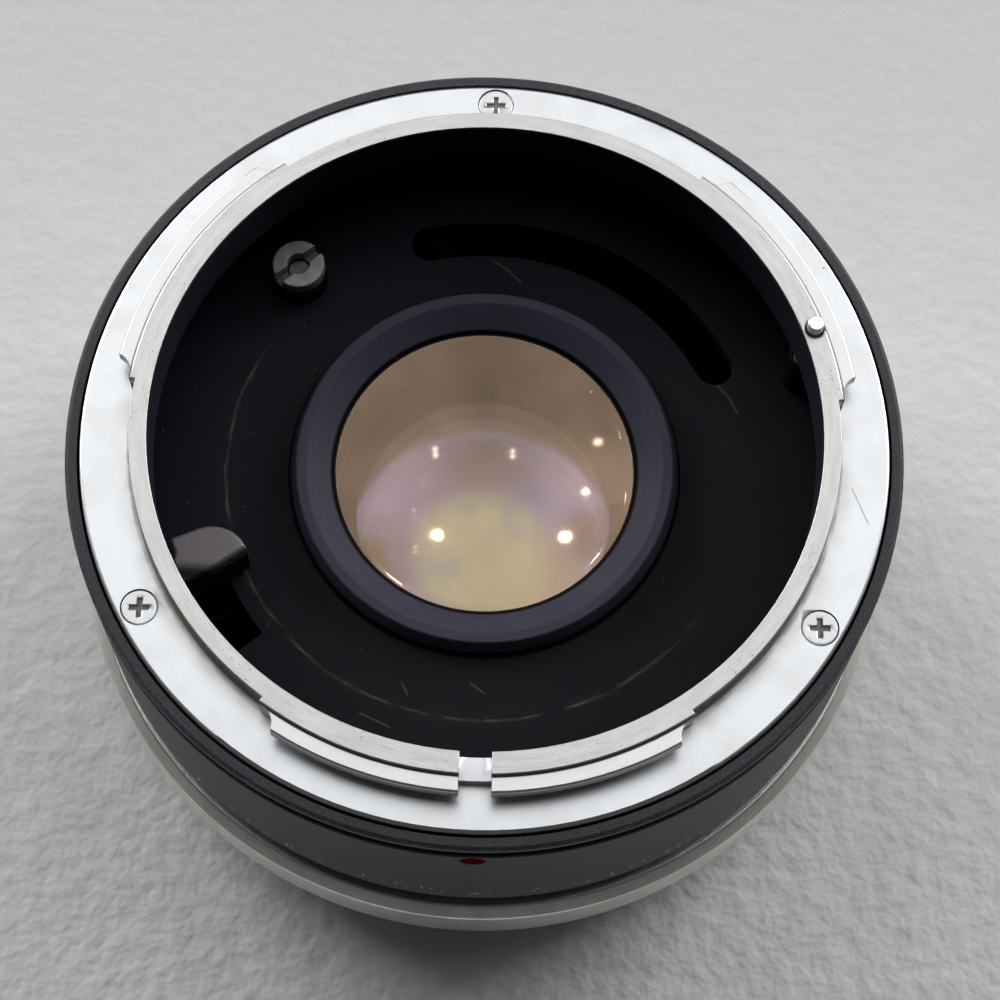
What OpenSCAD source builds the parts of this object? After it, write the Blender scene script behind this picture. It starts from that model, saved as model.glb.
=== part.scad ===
// Camera teleconverter. A short black barrel carries a bayonet mount for a lens at the front, a
// glass cell in the middle, two turning couplers that pass the lens's movements to the camera, and
// a breech-lock ring at the rear. It stands on its rear guard.
// Z is the optical axis, towards the lens, with zero at the end of the rear guard.
// The index slot is at -Y, and angles run anticlockwise from +X, seen from the lens side.

/* [Front mount] */
// Radius of the throat that a lens enters
throat_r = 24; // [22:0.1:26]
// Wall of the raised seat ring
seat_ring_wall = 1.7; // [1.6:0.1:2.2]
// Height of the seat ring above the flange
seat_ring_h = 2.4; // [2.1:0.1:3.2]
// Reach of the bayonet lugs beyond the seat ring
lug_reach = 1.15; // [0.8:0.05:2]
// How far the seat ring is cut back between the lugs
lug_relief = 0.45; // [0.3:0.05:0.6]
// Thickness of the bayonet lugs
lug_t = 1; // [0.6:0.1:1.2]
// Drop from the top of the seat ring to the top of the lugs
lug_drop = 0.25; // [0.1:0.05:0.5]
// Radius of the concave ends of the lugs
lug_end_r = 1.7; // [1.4:0.1:2.4]
// Angle covered by the lug at the index slot
index_lug_angle = 62.5; // [50:0.5:70]
// Angle covered by each side lug
side_lug_angle = 39; // [30:0.5:50]
// Angle from the index slot to the middle of a side lug
side_lug_turn = 119.5; // [112:0.5:124]
// Width of the flange outside the lugs
flange_margin = 2.2; // [1.5:0.05:3]
// Thickness of the flange
flange_t = 2; // [1.6:0.1:3]
// Width of the index slot
index_slot_w = 2.2; // [1.6:0.1:3]
// Depth of the index slot
index_slot_depth = 1.5; // [1.3:0.1:2]

/* [Small screws] */
// Radius of the mount and seat screws' threads
screw_r = 0.7; // [0.5:0.05:0.8]
// Radius of the screw heads
screw_head_r = 1.2; // [1:0.05:1.3]
// Height of the screw heads
screw_head_h = 0.9; // [0.6:0.1:1.2]
// Length of the screws below their heads
screw_len = 4; // [3:0.5:6]
// Distance of the mount screws from the wall of the chamber
screw_land = 1; // [0.9:0.05:1.2]

/* [Barrel] */
// Wall of the rim round the flange
rim_wall = 0.9; // [0.8:0.05:1.6]
// Height of the rim above the groove
rim_h = 0.9; // [0.6:0.1:2]
// Height of the flange above the rim
flange_proud = 0.3; // [0.1:0.05:0.6]
// Width of the groove under the rim
groove_w = 1.2; // [0.6:0.1:2]
// Depth of the groove under the rim
groove_depth = 0.45; // [0.2:0.05:0.6]
// Length of the plain wall
wall_len = 13; // [10:0.1:14]
// Length of the narrower neck
neck_len = 2; // [1.5:0.1:4]
// How much narrower the neck is than the wall
neck_step = 0.8; // [0.4:0.1:1]
// How far the chamber undercuts the throat
chamber_undercut = 2.4; // [2.3:0.05:2.6]
// Depth of the chamber below the mount
chamber_depth = 4.6; // [4:0.1:5.6]
// Width of the ledge that carries the baffle plate
plate_ledge = 1; // [0.6:0.1:1.4]
// Thickness of the ledge that carries the core frame
core_ledge_t = 2.5; // [2:0.1:2.8]
// Radius of the index dot
dot_r = 0.9; // [0.5:0.1:1.4]
// Distance of the index dot's middle below the groove
dot_drop = 1.1; // [1:0.1:4]

/* [Breech ring] */
// Thickness of the breech ring outside its cavity
ring_wall = 2.4; // [2:0.1:4]
// Thickness of the lip that runs on the journal
ring_lip_t = 2.5; // [2:0.1:3.5]
// How far the journal stands out beyond a lug
journal_margin = 0.85; // [0.4:0.05:1.2]
// How far the rear mount overlaps the lip
retain_lip = 0.7; // [0.5:0.1:1.2]
// Width of the top bevel
ring_bevel = 0.8; // [0.4:0.1:1.2]
// Width of the bottom bevel
ring_under_bevel = 0.4; // [0.2:0.1:1]
// Thickness of the claws
claw_t = 1; // [0.7:0.1:1.1]
// Angle covered by each claw
claw_angle = 50; // [36:1:56]
// Turn from open to locked
ring_turn = 60; // [40:1:62]

/* [Rear] */
// Length of the guard behind the rear seat
guard_len = 6.5; // [5.5:0.1:9]
// Wall of the guard
guard_wall = 1; // [0.8:0.05:1.1]
// Thickness of the rear mount
rear_mount_t = 2; // [1.8:0.1:3]
// Depth of the lever well inside the guard
well_depth = 5; // [3:0.1:5.2]
// Thickness of the plate across the lever well
well_plate_t = 1.2; // [0.8:0.1:1.4]
// Radius of the positioning pin
position_pin_r = 0.95; // [0.6:0.05:1]
// How far the positioning pin stands out of the seat
position_pin_len = 1.15; // [0.6:0.05:1.2]
// Radius of the pin that stops the breech ring
stop_pin_r = 0.4; // [0.3:0.05:0.45]

/* [Optics] */
// How much smaller the rear glasses are than the front ones, in radius
rear_glass_step = 1.5; // [1.4:0.1:2.4]
// Width of each glass's edge that is covered
glass_land = 0.75; // [0.5:0.05:1.2]
// Edge thickness of the front glass
front_glass_t = 3.4; // [3:0.1:3.8]
// Depth of the front glass's face below the retainer's inner bevel
front_glass_drop = 0.2; // [0.1:0.05:0.6]
// Edge thickness of the second glass
second_glass_t = 2.6; // [2:0.1:3]
// Edge thickness of the third glass
third_glass_t = 3; // [2.4:0.1:3.4]
// Edge thickness of the rear glass
rear_glass_t = 2.2; // [1.8:0.1:2.8]
// Length of the front spacer
front_spacer_len = 1.4; // [1:0.1:1.8]
// Length of the rear spacer
rear_spacer_len = 1.4; // [1:0.1:1.8]
// Radius of curvature of the front group
front_curve_r = 60; // [50:1:120]
// Radius of curvature of the rear group
rear_curve_r = 30; // [28:1:60]
// Wall of the cell round the front glasses
cell_wall = 1.1; // [0.8:0.05:1.4]
// Wall of the cell round the rear glasses
rear_cell_wall = 1.8; // [1.2:0.1:2]
// Distance from the end of the guard to the rear of the cell
cell_inset = 3.2; // [2:0.1:3.6]
// Thickness of the rear retainer
rear_retainer_t = 1.4; // [1:0.1:1.8]
// Height of the front retainer above the baffle plate
retainer_h = 1.6; // [1:0.1:2.4]
// Depth of the front retainer's inner bevel
retainer_bevel = 1.2; // [0.6:0.1:1.8]
// Width of the front retainer on the baffle plate
retainer_land = 1.35; // [0.8:0.05:1.6]
// How far the front retainer's outside leans in
retainer_taper = 0.7; // [0.2:0.05:0.9]

/* [Core] */
// Thickness of the baffle plate
plate_t = 1.2; // [0.8:0.1:1.8]
// Thickness of the core frame's disc
core_t = 1.6; // [1.2:0.1:2]
// Wall of the hub
hub_wall = 2.2; // [1.6:0.1:2.4]
// Width of the hub's shoulder
hub_shoulder_w = 0.8; // [0.6:0.1:1]
// Thickness of the coupling rings
coupler_t = 1.2; // [0.8:0.1:1.4]
// Width of the coupling rings
coupler_w = 1.75; // [1.4:0.05:2]
// Gap between the coupling rings and the signal lever that passes them
coupler_gap = 1.2; // [0.8:0.1:1.6]
// Thickness of the snap ring
clip_t = 0.6; // [0.4:0.05:0.7]
// Depth of the snap ring's groove in the hub
clip_groove = 0.6; // [0.4:0.05:0.8]
// Height of the snap ring above the hub
clip_proud = 1; // [0.6:0.05:1.2]

/* [Stop-down coupler] */
// Angle of the finger and lever
finger_angle = 203.5; // [200:0.5:206]
// Distance of the finger's end from the wall of the throat
finger_inset = 0.4; // [0.2:0.1:0.8]
// Length of the finger along the radius
finger_len = 4.9; // [4.4:0.1:5.2]
// Radius of the finger's rounded side
finger_nose_r = 2.7; // [2.2:0.1:2.8]
// Tilt of the finger's flat side from the radius
finger_tilt = 12; // [6:1:16]
// Width of the finger's stem
stem_w = 2.4; // [1.6:0.1:2.8]
// Depth of the finger's stem along the radius
stem_depth = 2.3; // [1.6:0.1:2.6]
// Distance of the rear lever's middle from the inside of the guard
stop_lever_inset = 2.2; // [1.8:0.1:2.6]
// Depth of both rear levers along the radius
lever_depth = 2; // [1.4:0.1:2.2]
// Thickness of both rear levers
lever_t = 1.4; // [1:0.1:1.8]
// Turn of the stop-down coupler
stop_turn = 12; // [6:1:16]

/* [Signal coupler] */
// Distance of the curved slot's middle from the inside of the guard
signal_inset = 3; // [2.8:0.1:3.4]
// Width of the curved slot
signal_slot_w = 2.8; // [2.4:0.1:3]
// Angle at which the signal coupler rests
signal_angle = 101; // [98:0.5:103]
// Turn of the signal coupler
signal_turn = 70; // [40:1:72]
// Width of the signal tab
tab_w = 2; // [1.4:0.1:2.4]
// How far the tab stays below the baffle plate's top
tab_drop = 0.8; // [0.3:0.1:1]

/* [Signal rod and seat pin] */
// Distance of the signal rod's middle from the inside of the guard
rod_guard_inset = 1.2; // [1:0.1:1.6]
// Angle at which the signal rod stands
rod_angle = 133.4; // [130:0.2:140]
// Radius of the signal rod
rod_r = 0.8; // [0.6:0.05:0.9]
// Travel of the signal rod
rod_travel = 2; // [1:0.1:2.4]
// Radius of the slotted nut
nut_r = 2; // [1.6:0.1:2.3]
// Height of the slotted nut above the baffle plate
nut_h = 2.7; // [2.2:0.1:3.4]
// Width of the nut's slot
nut_slot_w = 0.8; // [0.5:0.1:1]
// Distance from the end of the guard to the end of the rod
rod_inset = 2.6; // [2.5:0.1:3.4]
// Distance of the seat pin from the wall of the throat
pin_pos_inset = 0.95; // [0.9:0.05:1]
// Angle at which the seat pin stands
pin_angle = 19.5; // [16:0.5:24]
// Radius of the seat pin
pin_r = 0.6; // [0.5:0.02:0.62]
// How far the seat pin stands above the seat ring
pin_proud = 0.8; // [0.5:0.05:0.9]
// Outer radius of the seat pin's bush
bush_r = 1.25; // [1.2:0.01:1.27]

/* [Springs] */
// Wire radius of the torsion springs
torsion_wire_r = 0.2; // [0.12:0.01:0.22]
// Wire radius of the seat pin's spring
pin_wire_r = 0.09; // [0.06:0.01:0.1]
// Turns of the seat pin's spring
pin_spring_turns = 4; // [3:1:5]
// Wire radius of the signal rod's spring
rod_wire_r = 0.16; // [0.1:0.01:0.2]
// Turns of the signal rod's spring
rod_spring_turns = 6; // [4:1:8]

/* [Clearances] */
// Gap round a fixed piece in its seat
seat_fit = 0.05; // [0.02:0.01:0.1]
// Gap between the flange and the rim
rim_gap = 0.2; // [0.1:0.05:0.4]
// Running gap round a journal, a hub or a guided pin
run_fit = 0.05; // [0.03:0.01:0.1]
// End play of a turning ring
end_play = 0.1; // [0.05:0.05:0.2]
// Gap round what passes through a slot
slot_gap = 0.4; // [0.3:0.05:0.5]
// Gap beside what swings or turns past a fixed wall
swing_gap = 0.3; // [0.2:0.05:0.4]

/* [Hidden] */
$fn = 96;
// Facets of the large, shallow spheres of the glasses
glass_facets = 360;
// Overrun that takes a cut clear of the face it starts from
over = 0.5;

// Heights, from the end of the guard up
z_rear_seat = guard_len;
z_barrel_bottom = z_rear_seat + rear_mount_t;
z_shoulder = z_barrel_bottom + ring_lip_t + 2 * end_play;
z_wall_bottom = z_shoulder + neck_len;
z_groove_bottom = z_wall_bottom + wall_len;
z_groove_top = z_groove_bottom + groove_w;
z_rim_top = z_groove_top + rim_h;
z_flange = z_rim_top + flange_proud;
z_mount_bottom = z_flange - flange_t;
z_front_seat = z_flange + seat_ring_h;
z_lug_top = z_front_seat - lug_drop;
z_lug_bottom = z_lug_top - lug_t;
z_plate_top = z_mount_bottom - chamber_depth;
z_plate_bottom = z_plate_top - plate_t;
z_core_bottom = z_barrel_bottom + core_ledge_t;
z_core_top = z_core_bottom + core_t;

// Radii, from the throat outwards
seat_ring_r = throat_r + seat_ring_wall;
relief_r = seat_ring_r - lug_relief;
lug_r = seat_ring_r + lug_reach;
flange_r = lug_r + flange_margin;
recess_r = flange_r + rim_gap;
barrel_r = recess_r + rim_wall;
groove_r = barrel_r - groove_depth;
neck_r = barrel_r - neck_step;
chamber_r = throat_r + chamber_undercut;
bay_r = chamber_r - plate_ledge;
// Room between the guard and the throat of a like mount that it enters
guard_clearance = 0.6;
guard_r = throat_r - guard_clearance;
guard_in_r = guard_r - guard_wall;
// Step from the inside of the guard to the bore through the barrel's rear
rear_bore_step = 0.4;
rear_bore_r = guard_in_r + rear_bore_step;
journal_r = lug_r + journal_margin;
rear_mount_r = journal_r + retain_lip;
ring_cavity_r = rear_mount_r + swing_gap;
ring_r = ring_cavity_r + ring_wall;
// Small chamfers on turned edges
edge_chamfer = 0.25;
fine_chamfer = 0.15;
// Gap round a screw head in its counterbore and a stop pin in its groove
close_gap = swing_gap / 2;

// Bayonet lugs as middle angle and half width, in turning order from the index lug
index_angle = -90;
lugs = [[index_angle, index_lug_angle / 2],
        [index_angle + side_lug_turn, side_lug_angle / 2],
        [index_angle + 360 - side_lug_turn, side_lug_angle / 2]];
lug_count = len(lugs);
function lug_start(i) = lugs[i % lug_count][0] - lugs[i % lug_count][1] + 360 * floor(i / lug_count);
function lug_end(i) = lugs[i][0] + lugs[i][1];
// Turn from a lug's outer corner to the middle of the rounded cut beside it
// (the cut bites a little into the seat ring, so that the two surfaces cross)
lug_bite = 0.06;
lug_cut_pos_r = seat_ring_r - lug_bite + lug_end_r;
lug_cut_turn = acos((lug_r * lug_r + lug_cut_pos_r * lug_cut_pos_r - lug_end_r * lug_end_r)
                    / (2 * lug_r * lug_cut_pos_r));
// Turn from a lug's outer corner to the relief beside it, and the foot that the relieved ring keeps
relief_turn = lug_cut_turn + 0.5;
relief_foot = 0.1;

// Screws of the front mount, core frame and rear mount
mount_screw_pos_r = chamber_r + screw_land;
mount_screw_angles = [90, 210, 330];
counterbore_r = screw_head_r + close_gap;
head_sink = 0.05;
screw_hole_r = screw_r + seat_fit;
core_screw_pos_r = (rear_bore_r + bay_r) / 2;
core_screw_r = 0.5;
core_head_r = 0.9;
core_head_h = 0.7;
core_screw_angles = [75, 195, 315];
rear_screw_pos_r = (guard_r + rear_mount_r) / 2 + swing_gap;
rear_screw_angles = [30, 150, 250, 290];
countersink_h = 0.6;
cross_w = 0.36;
cross_depth = 0.45;
// Share of the head's radius that each arm of a cross recess reaches
cross_share = 0.7;
cross_reach = cross_share * screw_head_r;

// Breech ring heights and claws, which sit between the lugs of a like mount when open
z_ring_top = z_shoulder - end_play;
z_lip_bottom = z_ring_top - ring_lip_t;
// Play between a claw and the lug that it grips
claw_play = 0.05;
claw_gap = lug_drop + lug_t + claw_play;
z_claw_top = z_rear_seat - claw_gap;
z_ring_bottom = z_claw_top - claw_t;
ring_band_bottom = z_rear_seat - fine_chamfer;
claw_in_r = seat_ring_r + swing_gap;
claw_angles = [for (i = [0 : lug_count - 1]) (lug_end(i) + lug_start(i + 1)) / 2];
// Stop pin in the barrel's shoulder, and its groove in the ring
stop_pin_pos_r = (journal_r + neck_r) / 2 + run_fit;
stop_pin_depth = 1.4;
stop_pin_angle = 270;
stop_groove_r = stop_pin_r + close_gap;

// Flange by which the rear mount traps the guard, and the plate in the guard
guard_flange_w = 0.9;
guard_flange_t = 0.8;
guard_flange_r = guard_r + guard_flange_w;
guard_flange_fit_r = guard_flange_r + seat_fit;
z_guard_flange = z_barrel_bottom - guard_flange_t;
z_well_plate_top = well_depth + well_plate_t;
// Positioning pin, midway between the guard and the claws, and the metal left above its hole
position_pin_pos_r = (guard_r + claw_in_r) / 2 + seat_fit;
position_pin_cover = 0.24;
z_position_pin_top = z_guard_flange - position_pin_cover;
// Index dot in the barrel's wall
dot_depth = 0.35;
dot_z = z_groove_bottom - dot_drop;

// Inner radii, from the guard inwards: levers, coupling rings, hub, cell and glasses
stop_lever_r = guard_in_r - stop_lever_inset;
signal_r = guard_in_r - signal_inset;
rod_pos_r = guard_in_r - rod_guard_inset;
finger_out_r = throat_r - finger_inset;
finger_in_r = finger_out_r - finger_len;
signal_tab_depth = signal_slot_w - 2 * slot_gap;
coupler_out_r = signal_r - signal_tab_depth / 2 - coupler_gap;
coupler_in_r = coupler_out_r - coupler_w;
hub_r = coupler_in_r - run_fit;
shoulder_r = hub_r + hub_shoulder_w;
hub_bore_r = hub_r - hub_wall;
cell_r = hub_bore_r - seat_fit;
glass_r = cell_r - cell_wall - seat_fit;
rear_glass_r = glass_r - rear_glass_step;
rear_cell_r = rear_glass_r + seat_fit + rear_cell_wall;

// Optics heights: the front pair hangs from the front retainer, the rear pair stands on the rear one
retainer_reach = 0.4;
z_glass_front = z_plate_bottom - retainer_reach;
z_front_face = z_plate_top + retainer_h - retainer_bevel - front_glass_drop;
z_cell_front = z_glass_front - retainer_reach;
z_front_glass = z_glass_front - front_glass_t;
z_second_top = z_front_glass - front_spacer_len;
z_second_glass = z_second_top - second_glass_t;
z_cell_rear = cell_inset;
z_rear_glass = z_cell_rear + rear_retainer_t;
z_rear_top = z_rear_glass + rear_glass_t;
z_third_glass = z_rear_top + rear_spacer_len;
z_third_top = z_third_glass + third_glass_t;
clear_r = glass_r - glass_land;
// The front glass is turned down above the retainer's foot and fills its bore
front_step_r = clear_r - seat_fit;
front_rim_r = front_step_r - fine_chamfer;
rear_clear_r = rear_glass_r - glass_land;
hub_foot_h = 1.2;
z_hub_step = z_core_bottom + hub_foot_h;
plate_hole_r = hub_bore_r + seat_fit;
retainer_r = plate_hole_r + retainer_land;
retainer_top_r = retainer_r - retainer_taper;
retainer_bevel_r = retainer_top_r - glass_land;
spanner_w = 1.2;
spanner_depth = 0.6;

// Couplers on the hub: the stop-down ring on the shoulder, the signal ring under the snap ring
clip_room = 0.4;
z_clip = z_plate_bottom - clip_room - clip_t;
z_signal_top = z_clip - end_play;
z_signal_ring = z_signal_top - coupler_t;
// Both springs get half of the height that the rings leave free
spring_room = (z_signal_ring - z_core_top - coupler_t - end_play) / 2;
z_shoulder_top = z_core_top + spring_room;
z_stop_ring = z_shoulder_top + end_play;
z_stop_top = z_stop_ring + coupler_t;
clip_gap_angle = 40;
// Overlap that fuses an arm to its ring
arm_root = 0.5;
// Levers end a little inside the guard
lever_inset = 0.6;
stem_out_r = finger_out_r - slot_gap;
stem_mid_r = stem_out_r - stem_depth / 2;
z_finger_foot = z_plate_top + swing_gap;
z_finger_top = z_mount_bottom - swing_gap;
finger_face_v = 0.8;
stop_arm_half = atan((stem_w / 2 + slot_gap) / stem_mid_r);
signal_arm_half = atan((tab_w / 2 + slot_gap) / signal_r);
// Half turns that the slots need beside the stem, the levers and the tab
stem_slot_half = asin((stem_w / 2 + slot_gap) / (stem_mid_r - stem_depth / 2));
lever_slot_half = asin((lever_t / 2 + slot_gap) / (stop_lever_r - lever_depth / 2));
tab_slot_half = asin(tab_w / 2 / (signal_r - signal_tab_depth / 2));

// Signal rod: collars above and below the core frame hold the spring and stop the rod
z_rod_end = rod_inset;
z_nut_top = z_plate_top + nut_h;
z_nut_foot = z_plate_bottom + end_play;
rod_top_sink = 1;
rod_collar_r = rod_guard_inset - end_play;
rod_collar_t = 0.9;
spring_collar_r = 1.7;
spring_collar_t = 0.8;
z_spring_collar = z_plate_bottom - rod_travel - spring_collar_t;
z_rod_collar = z_core_bottom - end_play - rod_collar_t;
nut_hole_r = nut_r + run_fit;
nut_slot_depth = 0.9;
nut_slot_angle = 42;

// Seat pin: a collar in the bush under the mount
pin_pos_r = throat_r + pin_pos_inset;
pin_hole_r = pin_r + 2 * run_fit;
bush_wall = 0.22;
bush_floor_t = 0.3;
bush_in_r = bush_r - bush_wall;
pin_collar_r = bush_in_r - run_fit;
pin_collar_t = 0.8;
z_bush_top = z_mount_bottom - end_play;
z_pin_collar = z_bush_top - end_play - pin_collar_t;
z_pin_foot = z_plate_top - end_play * 2;
pin_foot_r = pin_r;

// Torsion springs: a coil round the hub with a leg on the lever and a leg on a fixed peg
torsion_gap = 0.12;
torsion_coil_r = shoulder_r + torsion_gap + torsion_wire_r;
leg_bend_r = lever_t / 2 + torsion_wire_r + run_fit;
leg_end_r = stop_lever_r;
peg_r = lever_t / 2;
stop_peg_angle = 240;
signal_peg_angle = 160;
z_stop_coil_low = z_core_top + torsion_gap + torsion_wire_r;
z_stop_coil_high = z_shoulder_top - torsion_gap - torsion_wire_r;
z_signal_coil_low = z_stop_top + end_play + torsion_gap + torsion_wire_r;
z_signal_coil_high = z_signal_ring - torsion_gap - torsion_wire_r;
stop_coil_sweep = finger_angle + 720 - stop_peg_angle;
signal_coil_sweep = signal_peg_angle + 360 - signal_angle;
coil_sides = 6;
coil_step = 10;
small_coil_step = 45;

// Helpers

// A turned solid from a half profile of radius and height points
module turned(points) {
    rotate_extrude() polygon(points);
}

// A disc between two heights
module disc(r, z0, z1) {
    translate([0, 0, z0]) cylinder(r = r, h = z1 - z0);
}

// A plain ring between two radii and two heights
module ring(r0, r1, z0, z1) {
    turned([[r0, z0], [r1, z0], [r1, z1], [r0, z1]]);
}

// Part of a ring between two angles
module sector(r0, r1, a0, a1, z0, z1) {
    rotate([0, 0, a0])
        rotate_extrude(angle = a1 - a0)
            polygon([[r0, z0], [r1, z0], [r1, z1], [r0, z1]]);
}

// A curved slot with round ends, whose end centres are at the two angles
module arc_slot(r, w, a0, a1, z0, z1) {
    sector(r - w / 2, r + w / 2, a0, a1, z0, z1);
    for (a = [a0, a1])
        at(r, a) disc(w / 2, z0, z1);
}

// Moves a child out to a radius and round to an angle
module at(r, a) {
    rotate([0, 0, a]) translate([r, 0, 0]) children();
}

// A block along the radius at an angle, with its middle at radius r
module radial_block(r, a, depth, w, z0, z1) {
    at(r, a) translate([-depth / 2, -w / 2, z0]) cube([depth, w, z1 - z0]);
}

// A cross recess cut down from a screw's top
module cross_recess(z) {
    for (a = [0, 90])
        rotate([0, 0, a])
            translate([-cross_reach, -cross_w / 2, z - cross_depth])
                cube([2 * cross_reach, cross_w, cross_depth + over]);
}

// Height of a spherical surface of radius curve over a circle of radius rim
function sag(curve, rim) = curve - sqrt(curve * curve - rim * rim);

// A glass with a plain edge. The top bulges and the bottom is hollow, and a curve of 0 is flat.
module glass(r, rim, z0, z1, top_curve, bottom_curve) {
    difference() {
        union() {
            disc(r, z0, z1);
            if (top_curve > 0)
                bulge(rim, z1, top_curve);
        }
        if (bottom_curve > 0)
            translate([0, 0, z0]) mirror([0, 0, 1]) hollow(rim, 0, bottom_curve);
    }
}

// A spherical cap that stands on a circle at height z
module bulge(rim, z, curve) {
    intersection() {
        translate([0, 0, z + sag(curve, rim) - curve]) sphere(r = curve, $fn = glass_facets);
        disc(rim, z - over, z + curve);
    }
}

// A spherical dish that is sunk below a circle at height z
module hollow(rim, z, curve) {
    translate([0, 0, z - sag(curve, rim) + curve]) sphere(r = curve, $fn = glass_facets);
}

// A round wire swept along points, closed at both ends
module wire(path, r) {
    count = len(path);
    rings = [for (i = [0 : count - 1]) each wire_ring(path, i, r)];
    sides = [for (i = [0 : count - 2], k = [0 : coil_sides - 1], f = wire_faces(i, k)) f];
    start_cap = [for (k = [1 : coil_sides - 2]) [0, k, k + 1]];
    last = (count - 1) * coil_sides;
    end_cap = [for (k = [1 : coil_sides - 2]) [last, last + k + 1, last + k]];
    polyhedron(points = rings, faces = concat(sides, start_cap, end_cap));
}

function unit(v) = v / norm(v);

// Points of the wire round one path point, square to the path
function wire_ring(path, i, r) =
    let (before = path[max(i - 1, 0)], after = path[min(i + 1, len(path) - 1)],
         along = unit(after - before), side = unit(cross(along, [0, 0, 1])), up = cross(side, along))
    [for (k = [0 : coil_sides - 1])
        path[i] + r * (side * cos(360 * k / coil_sides) + up * sin(360 * k / coil_sides))];

function wire_faces(i, k) =
    let (a = i * coil_sides + k, b = i * coil_sides + (k + 1) % coil_sides,
         c = a + coil_sides, d = b + coil_sides)
    [[a, c, b], [b, c, d]];

function polar(r, a, z) = [r * cos(a), r * sin(a), z];

// Helix from one angle through a sweep, between two heights
function helix(r, a0, sweep, z0, z1, step) =
    let (steps = ceil(sweep / step))
    [for (i = [0 : steps]) polar(r, a0 + sweep * i / steps, z0 + (z1 - z0) * i / steps)];

// A point in the frame of an angle: u along the radius, v across it
function local(a, u, v, z) = [u * cos(a) - v * sin(a), u * sin(a) + v * cos(a), z];

// Leg that bends out of a coil end at an angle. side is 1 where the coil arrives, -1 where it leaves.
function leg(a, side, z) =
    concat([for (t = [15 : 15 : 90])
                local(a, torsion_coil_r + leg_bend_r * (1 - cos(t)), side * leg_bend_r * sin(t), z)],
           [local(a, leg_end_r, side * leg_bend_r, z)]);

function reversed(list) = [for (i = [len(list) - 1 : -1 : 0]) list[i]];

function torsion_path(a0, sweep, z0, z1) =
    concat(reversed(leg(a0, -1, z0)),
           helix(torsion_coil_r, a0, sweep, z0, z1, coil_step),
           leg(a0 + sweep, 1, z1));

// Least free gap between points of a path that lie a stretch or more apart along it
function least_gap(path, apart, wire_r) =
    min([for (i = [0 : len(path) - 1 - apart], j = [i + apart : len(path) - 1])
        norm(path[i] - path[j])]) - 2 * wire_r;

// Fixed pieces

module barrel() {
    color("#26272a") difference() {
        turned([[journal_r, z_barrel_bottom], [journal_r, z_shoulder], [neck_r, z_shoulder],
                [neck_r, z_wall_bottom], [barrel_r - edge_chamfer, z_wall_bottom],
                [barrel_r, z_wall_bottom + edge_chamfer],
                [barrel_r, z_groove_bottom - fine_chamfer],
                [barrel_r - fine_chamfer, z_groove_bottom],
                [groove_r, z_groove_bottom], [groove_r, z_groove_top],
                [barrel_r - fine_chamfer, z_groove_top], [barrel_r, z_groove_top + fine_chamfer],
                [barrel_r, z_rim_top - edge_chamfer], [barrel_r - edge_chamfer, z_rim_top],
                [recess_r, z_rim_top], [recess_r, z_mount_bottom], [chamber_r, z_mount_bottom],
                [chamber_r, z_plate_bottom], [bay_r, z_plate_bottom], [bay_r, z_core_bottom],
                [rear_bore_r, z_core_bottom], [rear_bore_r, z_barrel_bottom]]);
        for (a = mount_screw_angles)
            at(mount_screw_pos_r, a)
                disc(screw_hole_r, z_mount_bottom - screw_len, z_mount_bottom + over);
        for (a = core_screw_angles)
            at(core_screw_pos_r, a)
                disc(core_screw_r + seat_fit, z_barrel_bottom + over, z_core_bottom + over);
        for (a = rear_screw_angles)
            at(rear_screw_pos_r, a)
                disc(screw_hole_r, z_barrel_bottom - over, z_barrel_bottom + core_ledge_t - over);
        at(stop_pin_pos_r, stop_pin_angle)
            disc(stop_pin_r + seat_fit, z_shoulder - over, z_shoulder + stop_pin_depth);
        index_pocket();
    }
}

// Pocket in the barrel's wall that the index dot fills
module index_pocket() {
    translate([0, -barrel_r + dot_depth, dot_z])
        rotate([90, 0, 0]) cylinder(r = dot_r + seat_fit, h = dot_depth + over);
}

module index_dot() {
    color("#7a1f22")
        translate([0, -barrel_r + dot_depth, dot_z])
            rotate([90, 0, 0]) cylinder(r = dot_r, h = dot_depth);
}

module front_mount() {
    color("#c9cacb") difference() {
        union() {
            turned([[throat_r, z_mount_bottom], [flange_r, z_mount_bottom],
                    [flange_r, z_flange - edge_chamfer], [flange_r - edge_chamfer, z_flange],
                    [seat_ring_r, z_flange], [seat_ring_r, z_front_seat - fine_chamfer],
                    [seat_ring_r - fine_chamfer, z_front_seat],
                    [throat_r, z_front_seat]]);
            for (i = [0 : lug_count - 1])
                lug(i);
        }
        for (i = [0 : lug_count - 1])
            sector(relief_r, lug_r, lug_end(i) + relief_turn, lug_start(i + 1) - relief_turn,
                   z_flange + relief_foot, z_front_seat + over);
        translate([-index_slot_w / 2, -lug_r - over, z_front_seat - index_slot_depth])
            cube([index_slot_w, lug_r + over - throat_r + 2 * over, index_slot_depth + over]);
        at(pin_pos_r, pin_angle) {
            disc(pin_hole_r, z_mount_bottom - over, z_front_seat + over);
            translate([0, 0, z_front_seat - fine_chamfer])
                cylinder(r1 = pin_hole_r, r2 = pin_hole_r + 2 * fine_chamfer, h = 2 * fine_chamfer);
        }
        for (a = mount_screw_angles)
            at(mount_screw_pos_r, a) {
                disc(counterbore_r, z_flange - screw_head_h - head_sink, z_flange + over);
                disc(screw_hole_r, z_mount_bottom - over, z_flange);
            }
    }
}

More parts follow.
